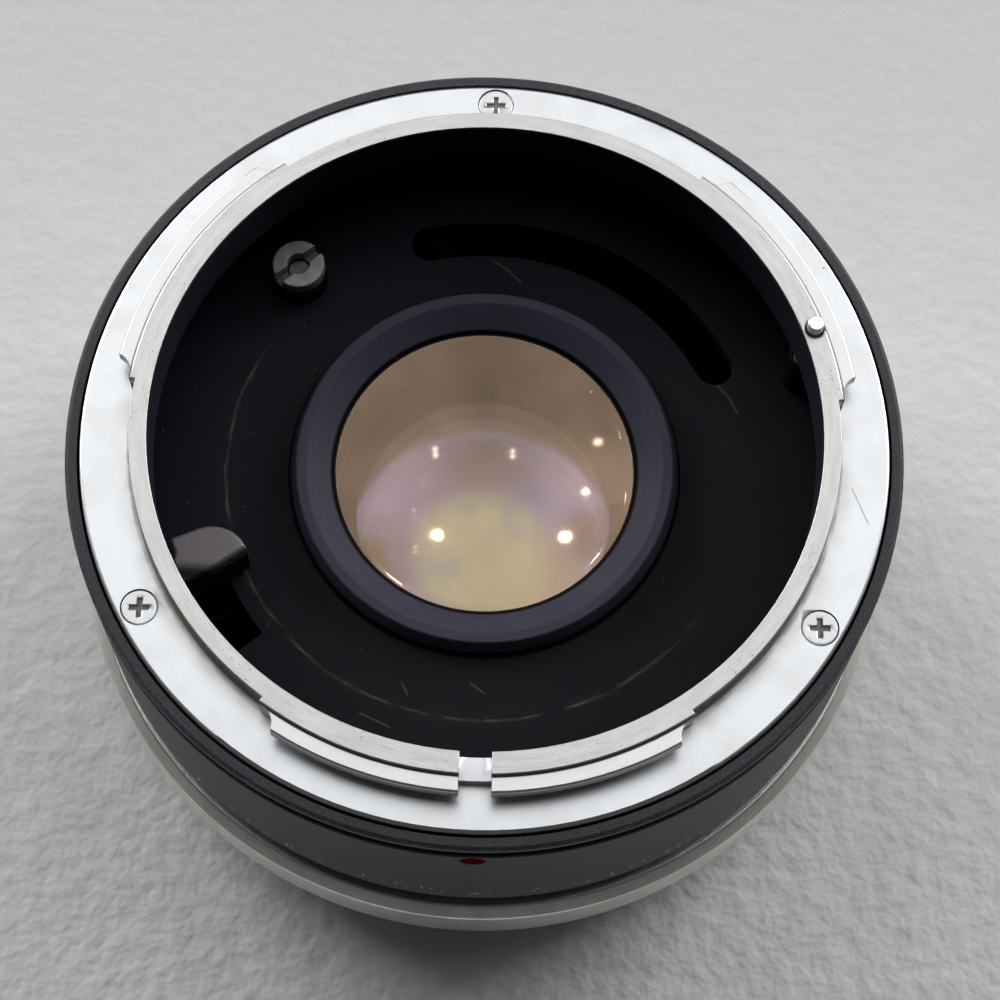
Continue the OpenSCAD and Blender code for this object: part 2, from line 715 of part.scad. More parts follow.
// A bayonet lug, with both ends hollowed by a round cutter
module lug(i) {
    first = lug_start(i) - lug_cut_turn;
    last = lug_end(i) + lug_cut_turn;
    difference() {
        rotate([0, 0, first])
            rotate_extrude(angle = last - first)
                polygon([[seat_ring_r - arm_root, z_lug_bottom], [lug_r, z_lug_bottom],
                         [lug_r, z_lug_top - fine_chamfer], [lug_r - fine_chamfer, z_lug_top],
                         [seat_ring_r - arm_root, z_lug_top]]);
        for (a = [first, last])
            at(lug_cut_pos_r, a) disc(lug_end_r, z_lug_bottom - over, z_lug_top + over);
    }
}

module front_mount_screws() {
    color("#b8b9ba")
        for (a = mount_screw_angles)
            at(mount_screw_pos_r, a) difference() {
                union() {
                    disc(screw_head_r, z_flange - screw_head_h - head_sink, z_flange - head_sink);
                    disc(screw_r, z_mount_bottom - screw_len + seat_fit,
                         z_flange - screw_head_h);
                }
                rotate([0, 0, -a]) cross_recess(z_flange - head_sink);
            }
}

module baffle_plate() {
    color("#17181b") difference() {
        ring(plate_hole_r, chamber_r - seat_fit, z_plate_bottom, z_plate_top);
        arc_slot(signal_r, signal_slot_w, signal_angle - signal_turn - tab_slot_half,
                 signal_angle + tab_slot_half, z_plate_bottom - over, z_plate_top + over);
        sector(stem_mid_r - stem_depth / 2 - slot_gap, stem_out_r + slot_gap,
               finger_angle - stem_slot_half, finger_angle + stem_slot_half + stop_turn,
               z_plate_bottom - over, z_plate_top + over);
        at(rod_pos_r, rod_angle) disc(nut_hole_r, z_plate_bottom - over, z_plate_top + over);
        at(pin_pos_r, pin_angle) disc(pin_foot_r + run_fit, z_plate_bottom - over, z_plate_top + over);
    }
}

module front_retainer() {
    color("#2e3136")
        turned([[clear_r, z_glass_front], [cell_r, z_glass_front], [cell_r, z_plate_top],
                [retainer_r, z_plate_top], [retainer_top_r, z_plate_top + retainer_h],
                [retainer_bevel_r, z_plate_top + retainer_h],
                [clear_r, z_plate_top + retainer_h - retainer_bevel]]);
}

module lens_cell() {
    color("#1b1c1e")
        turned([[rear_cell_r, z_cell_rear + edge_chamfer], [rear_cell_r, z_hub_step],
                [cell_r, z_hub_step], [cell_r, z_cell_front],
                [glass_r + seat_fit, z_cell_front], [glass_r + seat_fit, z_second_glass],
                [rear_clear_r, z_second_glass], [rear_clear_r, z_third_top],
                [rear_glass_r + seat_fit, z_third_top], [rear_glass_r + seat_fit, z_cell_rear],
                [rear_cell_r - edge_chamfer, z_cell_rear]]);
}

module front_element() {
    color("#8d7fa0") difference() {
        union() {
            glass(glass_r, clear_r, z_front_glass, z_glass_front, 0, front_curve_r);
            disc(front_step_r, z_glass_front - over, z_front_face);
        }
        hollow(front_rim_r, z_front_face, front_curve_r);
    }
}

module second_element() {
    color("#8d7fa0")
        glass(glass_r, clear_r, z_second_glass, z_second_top, front_curve_r, 0);
}

module third_element() {
    color("#8d7fa0")
        glass(rear_glass_r, rear_clear_r, z_third_glass, z_third_top, 0, rear_curve_r);
}

module rear_element() {
    color("#8d7fa0")
        glass(rear_glass_r, rear_clear_r, z_rear_glass, z_rear_top, rear_curve_r, 0);
}

module front_spacer() {
    color("#1b1c1e") ring(clear_r, glass_r, z_second_top, z_front_glass);
}

module rear_spacer() {
    color("#1b1c1e") ring(rear_clear_r, rear_glass_r, z_rear_top, z_third_glass);
}

module rear_retainer() {
    color("#1b1c1e") difference() {
        turned([[rear_clear_r, z_rear_glass], [rear_glass_r, z_rear_glass],
                [rear_glass_r, z_cell_rear], [rear_clear_r + fine_chamfer, z_cell_rear],
                [rear_clear_r, z_cell_rear + fine_chamfer]]);
        for (a = [0, 180])
            radial_block((rear_clear_r + rear_glass_r) / 2, a, glass_land + 2 * over, spanner_w,
                         z_cell_rear - over, z_cell_rear + spanner_depth);
    }
}

module core_frame() {
    color("#3a3b3d") {
        difference() {
            turned([[rear_cell_r + seat_fit, z_core_bottom], [bay_r - seat_fit, z_core_bottom],
                    [bay_r - seat_fit, z_core_top], [shoulder_r, z_core_top],
                    [shoulder_r, z_shoulder_top], [hub_r, z_shoulder_top], [hub_r, z_clip],
                    [hub_r - clip_groove, z_clip], [hub_r - clip_groove, z_clip + clip_t],
                    [hub_r, z_clip + clip_t], [hub_r, z_plate_bottom],
                    [hub_bore_r, z_plate_bottom], [hub_bore_r, z_hub_step],
                    [rear_cell_r + seat_fit, z_hub_step]]);
            lever_slots(z_core_bottom - over, z_core_top + over);
            at(rod_pos_r, rod_angle) disc(rod_r + run_fit, z_core_bottom - over, z_core_top + over);
            for (a = core_screw_angles)
                at(core_screw_pos_r, a)
                    disc(core_screw_r + seat_fit, z_core_bottom - over, z_core_top + over);
        }
        at(signal_r, stop_peg_angle)
            disc(peg_r, z_core_top - over, z_stop_coil_low + 2 * torsion_wire_r + torsion_gap);
        at(signal_r, signal_peg_angle)
            disc(peg_r, z_core_top - over, z_signal_coil_low + 2 * torsion_wire_r + torsion_gap);
    }
}

// Slots that both rear levers swing in
module lever_slots(z0, z1) {
    arc_slot(signal_r, signal_slot_w, signal_angle - signal_turn - tab_slot_half,
             signal_angle + tab_slot_half, z0, z1);
    sector(stop_lever_r - lever_depth / 2 - slot_gap, stop_lever_r + lever_depth / 2 + slot_gap,
           finger_angle - lever_slot_half, finger_angle + lever_slot_half + stop_turn, z0, z1);
}

module core_screws() {
    color("#8b8c8e")
        for (a = core_screw_angles)
            at(core_screw_pos_r, a) {
                disc(core_head_r, z_core_top, z_core_top + core_head_h);
                disc(core_screw_r, z_barrel_bottom + 2 * over, z_core_top + core_head_h / 2);
            }
}

module coupler_spacer() {
    color("#b08d4a")
        ring(coupler_in_r, shoulder_r, z_stop_top + end_play, z_signal_ring - end_play);
}

module coupler_circlip() {
    color("#8b8c8e")
        sector(hub_r - clip_groove + seat_fit, hub_r + clip_proud,
               clip_gap_angle, 360, z_clip + seat_fit, z_clip + clip_t - seat_fit);
}

module rear_mount() {
    color("#c4c5c6") difference() {
        turned([[guard_r + seat_fit, z_rear_seat], [rear_mount_r - edge_chamfer, z_rear_seat],
                [rear_mount_r, z_rear_seat + edge_chamfer], [rear_mount_r, z_barrel_bottom],
                [guard_flange_fit_r, z_barrel_bottom], [guard_flange_fit_r, z_guard_flange],
                [guard_r + seat_fit, z_guard_flange]]);
        at(position_pin_pos_r, index_angle)
            disc(position_pin_r + seat_fit, z_rear_seat - over, z_position_pin_top);
        for (a = rear_screw_angles)
            at(rear_screw_pos_r, a) {
                disc(screw_hole_r, z_rear_seat - over, z_barrel_bottom + over);
                translate([0, 0, z_rear_seat - over])
                    cylinder(r = screw_head_r + seat_fit, h = over + head_sink);
                translate([0, 0, z_rear_seat + head_sink])
                    cylinder(r1 = screw_head_r + seat_fit, r2 = screw_hole_r, h = countersink_h);
            }
    }
}

module rear_mount_screws() {
    z_head = z_rear_seat + head_sink;
    color("#b8b9ba")
        for (a = rear_screw_angles)
            at(rear_screw_pos_r, a) difference() {
                union() {
                    translate([0, 0, z_head])
                        cylinder(r1 = screw_head_r, r2 = screw_r, h = countersink_h);
                    disc(screw_r, z_head + countersink_h / 2,
                         z_barrel_bottom + core_ledge_t - over - seat_fit);
                }
                translate([0, 0, z_head]) mirror([0, 0, 1]) cross_recess(0);
            }
}

module rear_guard() {
    color("#1d1e20")
        turned([[guard_in_r + fine_chamfer, 0], [guard_r - edge_chamfer, 0],
                [guard_r, edge_chamfer], [guard_r, z_guard_flange],
                [guard_flange_r, z_guard_flange], [guard_flange_r, z_barrel_bottom],
                [rear_bore_r, z_barrel_bottom], [rear_bore_r, well_depth],
                [guard_in_r, well_depth], [guard_in_r, fine_chamfer]]);
}

// The plate drops into the guard from the barrel's side, onto the ledge in its bore
module well_plate() {
    color("#1d1e20") difference() {
        ring(rear_cell_r + swing_gap, rear_bore_r - seat_fit, well_depth, z_well_plate_top);
        lever_slots(well_depth - over, z_well_plate_top + over);
        at(rod_pos_r, rod_angle)
            disc(rod_r + run_fit, well_depth - over, z_well_plate_top + over);
    }
}

module positioning_pin() {
    color("#a9aaab")
        at(position_pin_pos_r, index_angle)
            turned([[0, z_rear_seat - position_pin_len],
                    [position_pin_r - fine_chamfer, z_rear_seat - position_pin_len],
                    [position_pin_r, z_rear_seat - position_pin_len + fine_chamfer],
                    [position_pin_r, z_position_pin_top - seat_fit],
                    [0, z_position_pin_top - seat_fit]]);
}

module ring_stop_pin() {
    color("#a9aaab")
        at(stop_pin_pos_r, stop_pin_angle)
            disc(stop_pin_r, z_shoulder - stop_pin_depth + seat_fit,
                 z_shoulder + stop_pin_depth - seat_fit);
}

module pin_bush() {
    color("#141517")
        at(pin_pos_r, pin_angle)
            turned([[pin_r + run_fit, z_plate_top], [bush_r, z_plate_top], [bush_r, z_bush_top],
                    [bush_in_r, z_bush_top], [bush_in_r, z_plate_top + bush_floor_t],
                    [pin_r + run_fit, z_plate_top + bush_floor_t]]);
}

// Springs

pin_coil_r = (pin_r + bush_in_r) / 2;
pin_coil_path = helix(pin_coil_r, 0, 360 * pin_spring_turns,
                      z_plate_top + bush_floor_t + end_play + pin_wire_r,
                      z_pin_collar - end_play - pin_wire_r, small_coil_step);

module pin_spring() {
    color("#9fa0a2") at(pin_pos_r, pin_angle) wire(pin_coil_path, pin_wire_r);
}

rod_coil_r = (rod_r + spring_collar_r) / 2;
rod_coil_path = helix(rod_coil_r, 0, 360 * rod_spring_turns,
                      z_core_top + end_play + rod_wire_r,
                      z_spring_collar - end_play - rod_wire_r, small_coil_step);

module rod_spring() {
    color("#9fa0a2") at(rod_pos_r, rod_angle) wire(rod_coil_path, rod_wire_r);
}

stop_coil_path = torsion_path(stop_peg_angle, stop_coil_sweep, z_stop_coil_low, z_stop_coil_high);

module stop_down_spring() {
    color("#9fa0a2") wire(stop_coil_path, torsion_wire_r);
}

signal_coil_path = torsion_path(signal_angle, signal_coil_sweep,
                                z_signal_coil_high, z_signal_coil_low);

module signal_spring() {
    color("#9fa0a2") wire(signal_coil_path, torsion_wire_r);
}

echo("least gap in the seat pin's spring",
     least_gap(pin_coil_path, 180 / small_coil_step, pin_wire_r));
echo("least gap in the signal rod's spring",
     least_gap(rod_coil_path, 180 / small_coil_step, rod_wire_r));
echo("least gap in the stop-down spring",
     least_gap(stop_coil_path, 180 / coil_step, torsion_wire_r));
echo("least gap in the signal spring",
     least_gap(signal_coil_path, 180 / coil_step, torsion_wire_r));

// Moving pieces

module breech_ring() {
    color("#c9cacb") difference() {
        union() {
            turned([[journal_r + run_fit, z_ring_top], [ring_r - ring_bevel, z_ring_top],
                    [ring_r, z_ring_top - ring_bevel], [ring_r, ring_band_bottom],
                    [ring_r - ring_under_bevel, z_ring_bottom], [ring_cavity_r, z_ring_bottom],
                    [ring_cavity_r, z_lip_bottom], [journal_r + run_fit, z_lip_bottom]]);
            for (a = claw_angles)
                sector(claw_in_r, ring_cavity_r + arm_root, a - claw_angle / 2, a + claw_angle / 2,
                       z_ring_bottom, z_claw_top);
        }
        // The ring turns clockwise to lock, so the groove runs anticlockwise from the stop pin
        arc_slot(stop_pin_pos_r, 2 * stop_groove_r, stop_pin_angle, stop_pin_angle + ring_turn,
                 z_shoulder - stop_pin_depth - end_play, z_ring_top + over);
    }
}

module stop_down_ring() {
    color("#6d6e70") {
        ring(coupler_in_r, coupler_out_r, z_stop_ring, z_stop_top);
        sector(coupler_out_r - arm_root, stem_out_r, finger_angle - stop_arm_half,
               finger_angle + stop_arm_half, z_stop_ring, z_stop_top);
    }
}

module stop_down_finger() {
    color("#77797c") {
        radial_block(stem_mid_r, finger_angle, stem_depth, stem_w, z_stop_top, z_finger_foot + over);
        rotate([0, 0, finger_angle]) intersection() {
            union() {
                translate([finger_in_r + finger_nose_r, finger_face_v, 0])
                    disc(finger_nose_r, z_finger_foot, z_finger_top);
                translate([finger_in_r + finger_nose_r, finger_face_v - finger_nose_r, z_finger_foot])
                    cube([finger_out_r - finger_in_r - finger_nose_r, 2 * finger_nose_r,
                          z_finger_top - z_finger_foot]);
            }
            translate([finger_in_r, finger_face_v, z_finger_foot - over])
                rotate([0, 0, finger_tilt])
                    translate([-finger_out_r, -finger_out_r, 0])
                        cube([2 * finger_out_r, finger_out_r, chamber_depth + over]);
        }
    }
}

module stop_down_lever() {
    color("#77797c")
        radial_block(stop_lever_r, finger_angle, lever_depth, lever_t, lever_inset, z_stop_ring);
}

module signal_ring() {
    color("#6d6e70") {
        ring(coupler_in_r, coupler_out_r, z_signal_ring, z_signal_top);
        sector(coupler_out_r - arm_root, signal_r + signal_tab_depth / 2,
               signal_angle - signal_arm_half, signal_angle + signal_arm_half,
               z_signal_ring, z_signal_top);
    }
}

module signal_tab() {
    color("#1d1e20")
        radial_block(signal_r, signal_angle, signal_tab_depth, tab_w,
                     z_signal_top, z_plate_top - tab_drop);
}

module signal_lever() {
    color("#77797c")
        radial_block(signal_r, signal_angle, signal_tab_depth, lever_t, lever_inset, z_signal_ring);
}

module signal_rod() {
    color("#97989a")
        at(rod_pos_r, rod_angle) {
            disc(rod_r, z_rod_end, z_nut_top - rod_top_sink);
            disc(rod_collar_r, z_rod_collar, z_rod_collar + rod_collar_t);
            disc(spring_collar_r, z_spring_collar, z_spring_collar + spring_collar_t);
        }
}

module signal_nut() {
    color("#85878a")
        at(rod_pos_r, rod_angle) difference() {
            turned([[rod_r + seat_fit, z_nut_foot], [nut_r, z_nut_foot],
                    [nut_r, z_nut_top - fine_chamfer], [nut_r - fine_chamfer, z_nut_top],
                    [rod_r + seat_fit, z_nut_top]]);
            rotate([0, 0, nut_slot_angle - rod_angle])
                translate([-nut_r - over, -nut_slot_w / 2, z_nut_top - nut_slot_depth])
                    cube([2 * (nut_r + over), nut_slot_w, nut_slot_depth + over]);
        }
}

module seat_pin() {
    color("#cfd0d1")
        at(pin_pos_r, pin_angle)
            turned([[0, z_pin_foot], [pin_foot_r, z_pin_foot], [pin_foot_r, z_pin_collar],
                    [pin_collar_r, z_pin_collar], [pin_collar_r, z_pin_collar + pin_collar_t],
                    [pin_r, z_pin_collar + pin_collar_t],
                    [pin_r, z_front_seat + pin_proud - edge_chamfer],
                    [pin_r - edge_chamfer, z_front_seat + pin_proud],
                    [0, z_front_seat + pin_proud]]);
}

barrel();
front_mount();
front_mount_screws();
index_dot();
baffle_plate();
front_retainer();
lens_cell();
front_element();
second_element();
third_element();
rear_element();
front_spacer();
rear_spacer();
rear_retainer();
core_frame();
core_screws();
coupler_spacer();
coupler_circlip();
rear_mount();
rear_mount_screws();
rear_guard();
well_plate();
positioning_pin();
ring_stop_pin();
pin_bush();
pin_spring();
rod_spring();
stop_down_spring();
signal_spring();
breech_ring();
stop_down_ring();
stop_down_finger();
stop_down_lever();
signal_ring();
signal_tab();
signal_lever();
signal_rod();
signal_nut();
seat_pin();
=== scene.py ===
"""Looks of a camera teleconverter, dressed over its packed solids.

The scene is in metres in the solids' own frame: Z is the optical axis, towards the lens, zero is
the end of the rear guard that the part stands on, and the index slot is at -Y. The sizes of the
part are given in millimetres, and its angles in degrees.
"""

import functools
import logging
import math
from collections.abc import Callable
from dataclasses import dataclass
from enum import Enum

import bmesh
import bpy
from mathutils import Matrix, Vector

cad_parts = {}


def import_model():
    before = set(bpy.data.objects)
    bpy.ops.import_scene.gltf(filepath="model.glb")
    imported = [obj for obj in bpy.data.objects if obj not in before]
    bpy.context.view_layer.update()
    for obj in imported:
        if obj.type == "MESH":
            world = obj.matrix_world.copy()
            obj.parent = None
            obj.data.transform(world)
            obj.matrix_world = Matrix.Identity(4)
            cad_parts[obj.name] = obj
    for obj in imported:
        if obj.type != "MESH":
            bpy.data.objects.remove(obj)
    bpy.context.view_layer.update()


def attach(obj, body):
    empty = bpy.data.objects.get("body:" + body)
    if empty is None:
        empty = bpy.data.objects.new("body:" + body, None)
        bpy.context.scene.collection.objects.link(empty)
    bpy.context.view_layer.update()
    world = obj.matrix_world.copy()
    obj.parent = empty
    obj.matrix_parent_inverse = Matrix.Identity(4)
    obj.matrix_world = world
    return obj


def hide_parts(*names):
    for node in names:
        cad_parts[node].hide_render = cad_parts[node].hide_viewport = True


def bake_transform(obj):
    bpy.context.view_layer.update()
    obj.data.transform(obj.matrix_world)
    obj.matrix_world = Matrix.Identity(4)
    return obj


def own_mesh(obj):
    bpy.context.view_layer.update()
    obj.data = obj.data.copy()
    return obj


MM = 0.001
UP = Vector((0.0, 0.0, 1.0))
LOG = logging.getLogger("teleconverter")
# Faces that meet flatter than this are joined, and edges sharper than this are rounded
FLAT_ANGLE = math.radians(0.4)
SHARP_ANGLE = math.radians(28.0)
# A face has room for a rounding if it reaches this many times its width
ROOM = 2.3
# Vertices nearer than this are one: in a solid's mesh, after rounding and in a spun shape
SOLID_WELD, ROUND_WELD, SPUN_WELD = 0.001, 0.0005, 0.002
# Faces whose normal has less than this along Z stand upright
UPRIGHT = 0.5
# Facets round large and small spun shapes and round a wire, and rings on a polished face
STEPS, SMALL_STEPS, WIRE_SIDES, FACE_RINGS = 128, 48, 12, 16
# Radius at which patterns round the axis have their true length
ARC_R = 25.0
# Radius and angle of the seat pin and of the signal rod
PIN_PLACE, ROD_PLACE = (24.95, 19.5), (21.2, 133.4)
# Operations on vectors that give a number
NUMBERS = ("LENGTH", "DISTANCE", "DOT_PRODUCT")

Socket = bpy.types.NodeSocket
Material = bpy.types.Material
Mesh = bmesh.types.BMesh
Value = float | Socket
Pair = tuple[float, float]
Triple = tuple[float, float, float]
Test = Callable[[Vector], bool]


class Body(Enum):
    """Bodies that a piece can ride on."""

    FIXED = "body"
    LOCK = "locking_ring"
    STOP_DOWN = "stop_down_coupler"
    SIGNAL = "signal_coupler"
    ROD = "signal_plunger"
    PIN = "seat_plunger"


class Slot(Enum):
    """Material slots of the record that pieces take."""

    BARREL = "black_barrel"
    INNER = "black_inner"
    CHROME = "satin_chrome"
    STEEL = "steel"
    DARK_STEEL = "dark_steel"
    GLASS = "coated_glass"
    ENAMEL = "red_enamel"


def linear(code: str) -> tuple[float, float, float, float]:
    """Turns an sRGB hex colour into linear values.

    Args:
        code: Colour such as "#c0c1c2".

    Returns:
        Linear red, green and blue, with full alpha.
    """
    parts = [int(code[i:i + 2], 16) / 255 for i in (1, 3, 5)]
    red, green, blue = (p / 12.92 if p <= 0.04045 else ((p + 0.055) / 1.055) ** 2.4 for p in parts)
    return red, green, blue, 1.0


def add(tree: bpy.types.NodeTree, kind: str, inputs: dict | None = None,
        **settings: object) -> bpy.types.Node:
    """Adds a node with its settings and inputs.

    Args:
        tree: Tree that gets the node.
        kind: Node type.
        inputs: Input name or number, with a value or a socket to link from.
        **settings: Properties of the node.

    Returns:
        The new node.
    """
    made = tree.nodes.new(kind)
    for key, value in settings.items():
        setattr(made, key, value)
    for key, value in (inputs or {}).items():
        if isinstance(value, Socket):
            tree.links.new(value, made.inputs[key])
        else:
            made.inputs[key].default_value = value
    return made


class Canvas:
    """A material in the making: coordinates for patterns, and the surface laid down so far."""

    def __init__(self, name: str, colour: str, roughness: float, metallic: float) -> None:
        """Starts a material with one plain surface.

        Args:
            name: Name of the material.
            colour: sRGB hex colour.
            roughness: Roughness of the surface.
            metallic: 1 for bare metal, 0 for paint, oxide or plastic.
        """
        self.material = bpy.data.materials.new(name)
        self.material.use_nodes = True
        self.tree = self.material.node_tree
        self.tree.nodes.clear()
        self.colour: Socket | tuple = linear(colour)
        self.roughness: Value = roughness
        self.metallic: Value = metallic
        self.spot = add(self.tree, "ShaderNodeTexCoord").outputs["Object"]
        self.x, self.y, self.z = add(self.tree, "ShaderNodeSeparateXYZ", {0: self.spot}).outputs
        self.flat = self.vector("MULTIPLY", self.spot, (1.0, 1.0, 0.0))
        self.radius = self.vector("LENGTH", self.flat)
        self.turn = self.number("ARCTAN2", self.y, self.x)
        arc = self.number("MULTIPLY", self.turn, ARC_R * MM)
        self.round = add(self.tree, "ShaderNodeCombineXYZ",
                         {0: self.radius, 1: arc, 2: self.z}).outputs[0]

    def number(self, operation: str, *values: Value) -> Socket:
        """Works out a number from others."""
        return add(self.tree, "ShaderNodeMath", dict(enumerate(values)),
                   operation=operation).outputs[0]

    def vector(self, operation: str, *values: Socket | Triple) -> Socket:
        """Works out a vector, or a number where the operation gives one."""
        made = add(self.tree, "ShaderNodeVectorMath", dict(enumerate(values)), operation=operation)
        return made.outputs["Value" if operation in NUMBERS else "Vector"]

    def ramp(self, value: Socket, low: float, high: float, start: float = 0.0, end: float = 1.0,
             kind: str = "LINEAR") -> Socket:
        """Maps the range from low to high to one from start to end, and stops at its ends."""
        return add(self.tree, "ShaderNodeMapRange", {0: value, 1: low, 2: high, 3: start, 4: end},
                   interpolation_type=kind).outputs[0]

    def both(self, *masks: Value) -> Socket:
        """Marks where every mask holds, by multiplying them."""
        return functools.reduce(functools.partial(self.number, "MULTIPLY"), masks)

    def between(self, value: Socket, low: float, high: float, soft: float) -> Socket:
        """Marks where a value lies between two limits, each softened by so much to both sides."""
        return self.both(self.ramp(value, low - soft, low + soft, kind="SMOOTHSTEP"),
                         self.ramp(value, high - soft, high + soft, 1.0, 0.0, "SMOOTHSTEP"))

    def band(self, value: Socket, low: float, high: float, soft: float = 0.03) -> Socket:
        """Marks a band of radii, heights or places in millimetres, as between does."""
        return self.between(value, low * MM, high * MM, soft * MM)

    def zone(self, radii: Pair, heights: Pair, soft_r: float = 0.03,
             soft_z: float = 0.03) -> Socket:
        """Marks where a band of radii meets a band of heights."""
        return self.both(self.band(self.radius, *radii, soft_r),
                         self.band(self.z, *heights, soft_z))

    def grain(self, coords: Socket, sizes: Triple, low: float = 0.35, high: float = 0.65,
              detail: float = 2.0) -> Socket:
        """Spreads soft noise whose features have a given size along each axis.

        Args:
            coords: Coordinates in metres, plain or round the axis.
            sizes: Millimetres of one feature along each axis.
            low: Noise value that gives 0.
            high: Noise value that gives 1.
            detail: Octaves of finer noise.

        Returns:
            A mask from 0 to 1.
        """
        scaled = self.vector("MULTIPLY", coords, tuple(1 / (size * MM) for size in sizes))
        noise = add(self.tree, "ShaderNodeTexNoise",
                    {"Vector": scaled, "Scale": 1.0, "Detail": detail})
        return self.ramp(noise.outputs["Fac"], low, high)

    def mottle(self, size: float, *limits: float) -> Socket:
        """Spreads grain of one size all over, with the limits and detail that grain takes."""
        return self.grain(self.spot, (size, size, size), *limits)

    def specks(self, cell: float, size: float, share: float) -> Socket:
        """Scatters small round specks, such as dust or pits.

        Args:
            cell: Millimetres between specks.
            size: Radius of a speck as a part of that distance.
            share: Part of the places that have a speck.

        Returns:
            A mask from 0 to 1.
        """
        rate = 1 / (cell * MM)
        scaled = self.vector("MULTIPLY", self.spot, (rate, rate, rate))
        cells = add(self.tree, "ShaderNodeTexVoronoi", {"Vector": scaled, "Scale": 1.0})
        draw = add(self.tree, "ShaderNodeSeparateColor", {0: cells.outputs["Color"]})
        return self.both(self.ramp(cells.outputs["Distance"], size * 0.6, size, 1.0, 0.0),
                         self.number("LESS_THAN", draw.outputs[0], share))

    def stroke(self, start: Pair, end: Pair, width: float) -> Socket:
        """Marks a straight scratch on a face that lies square to the axis.

        Args:
            start: Its start, in millimetres along X and Y.
            end: Its end.
            width: Its width in millimetres.

        Returns:
            A mask from 0 to 1.
        """
        first, last = Vector(start), Vector(end)
        way = (last - first).normalized()
        side = Vector((-way.y, way.x))
        along, across = (self.vector("DOT_PRODUCT", self.spot, (line.x, line.y, 0.0))
                         for line in (way, side))
        middle = first.dot(side)
        return self.both(self.band(along, first.dot(way), last.dot(way), 0.15),
                         self.band(across, middle - width / 2, middle + width / 2, width / 2))

    def lay(self, colour: str, roughness: float, metallic: float, *masks: Value) -> None:
        """Lays another surface over what is there.

        Args:
            colour: Its sRGB hex colour.
            roughness: Its roughness.
            metallic: Its metallic value.
            *masks: Where it shows, and how much of it.
        """
        mask = self.both(*masks)
        self.colour = add(self.tree, "ShaderNodeMix", {0: mask, 6: self.colour, 7: linear(colour)},
                          data_type="RGBA").outputs[2]
        if self.roughness != roughness:
            self.roughness = add(self.tree, "ShaderNodeMix",
                                 {0: mask, 2: self.roughness, 3: roughness}).outputs[0]
        if self.metallic != metallic:
            self.metallic = add(self.tree, "ShaderNodeMix",
                                {0: mask, 2: self.metallic, 3: metallic}).outputs[0]

    def close(self, relief: Socket, depth: float, gloss: float = 0.5) -> Material:
        """Joins the layers and a relief in one shader.

        Args:
            relief: Height of the surface, from 0 to 1.
            depth: Millimetres that the relief's 1 stands for.
            gloss: Specular level of the shader.

        Returns:
            The finished material.
        """
        bump = add(self.tree, "ShaderNodeBump", {"Height": relief, "Distance": depth * MM})
        shader = add(self.tree, "ShaderNodeBsdfPrincipled", {
            "Base Color": self.colour, "Roughness": self.roughness, "Metallic": self.metallic,
            "Specular IOR Level": gloss, "Normal": bump.outputs[0]})
        add(self.tree, "ShaderNodeOutputMaterial", {0: shader.outputs[0]})
        return self.material


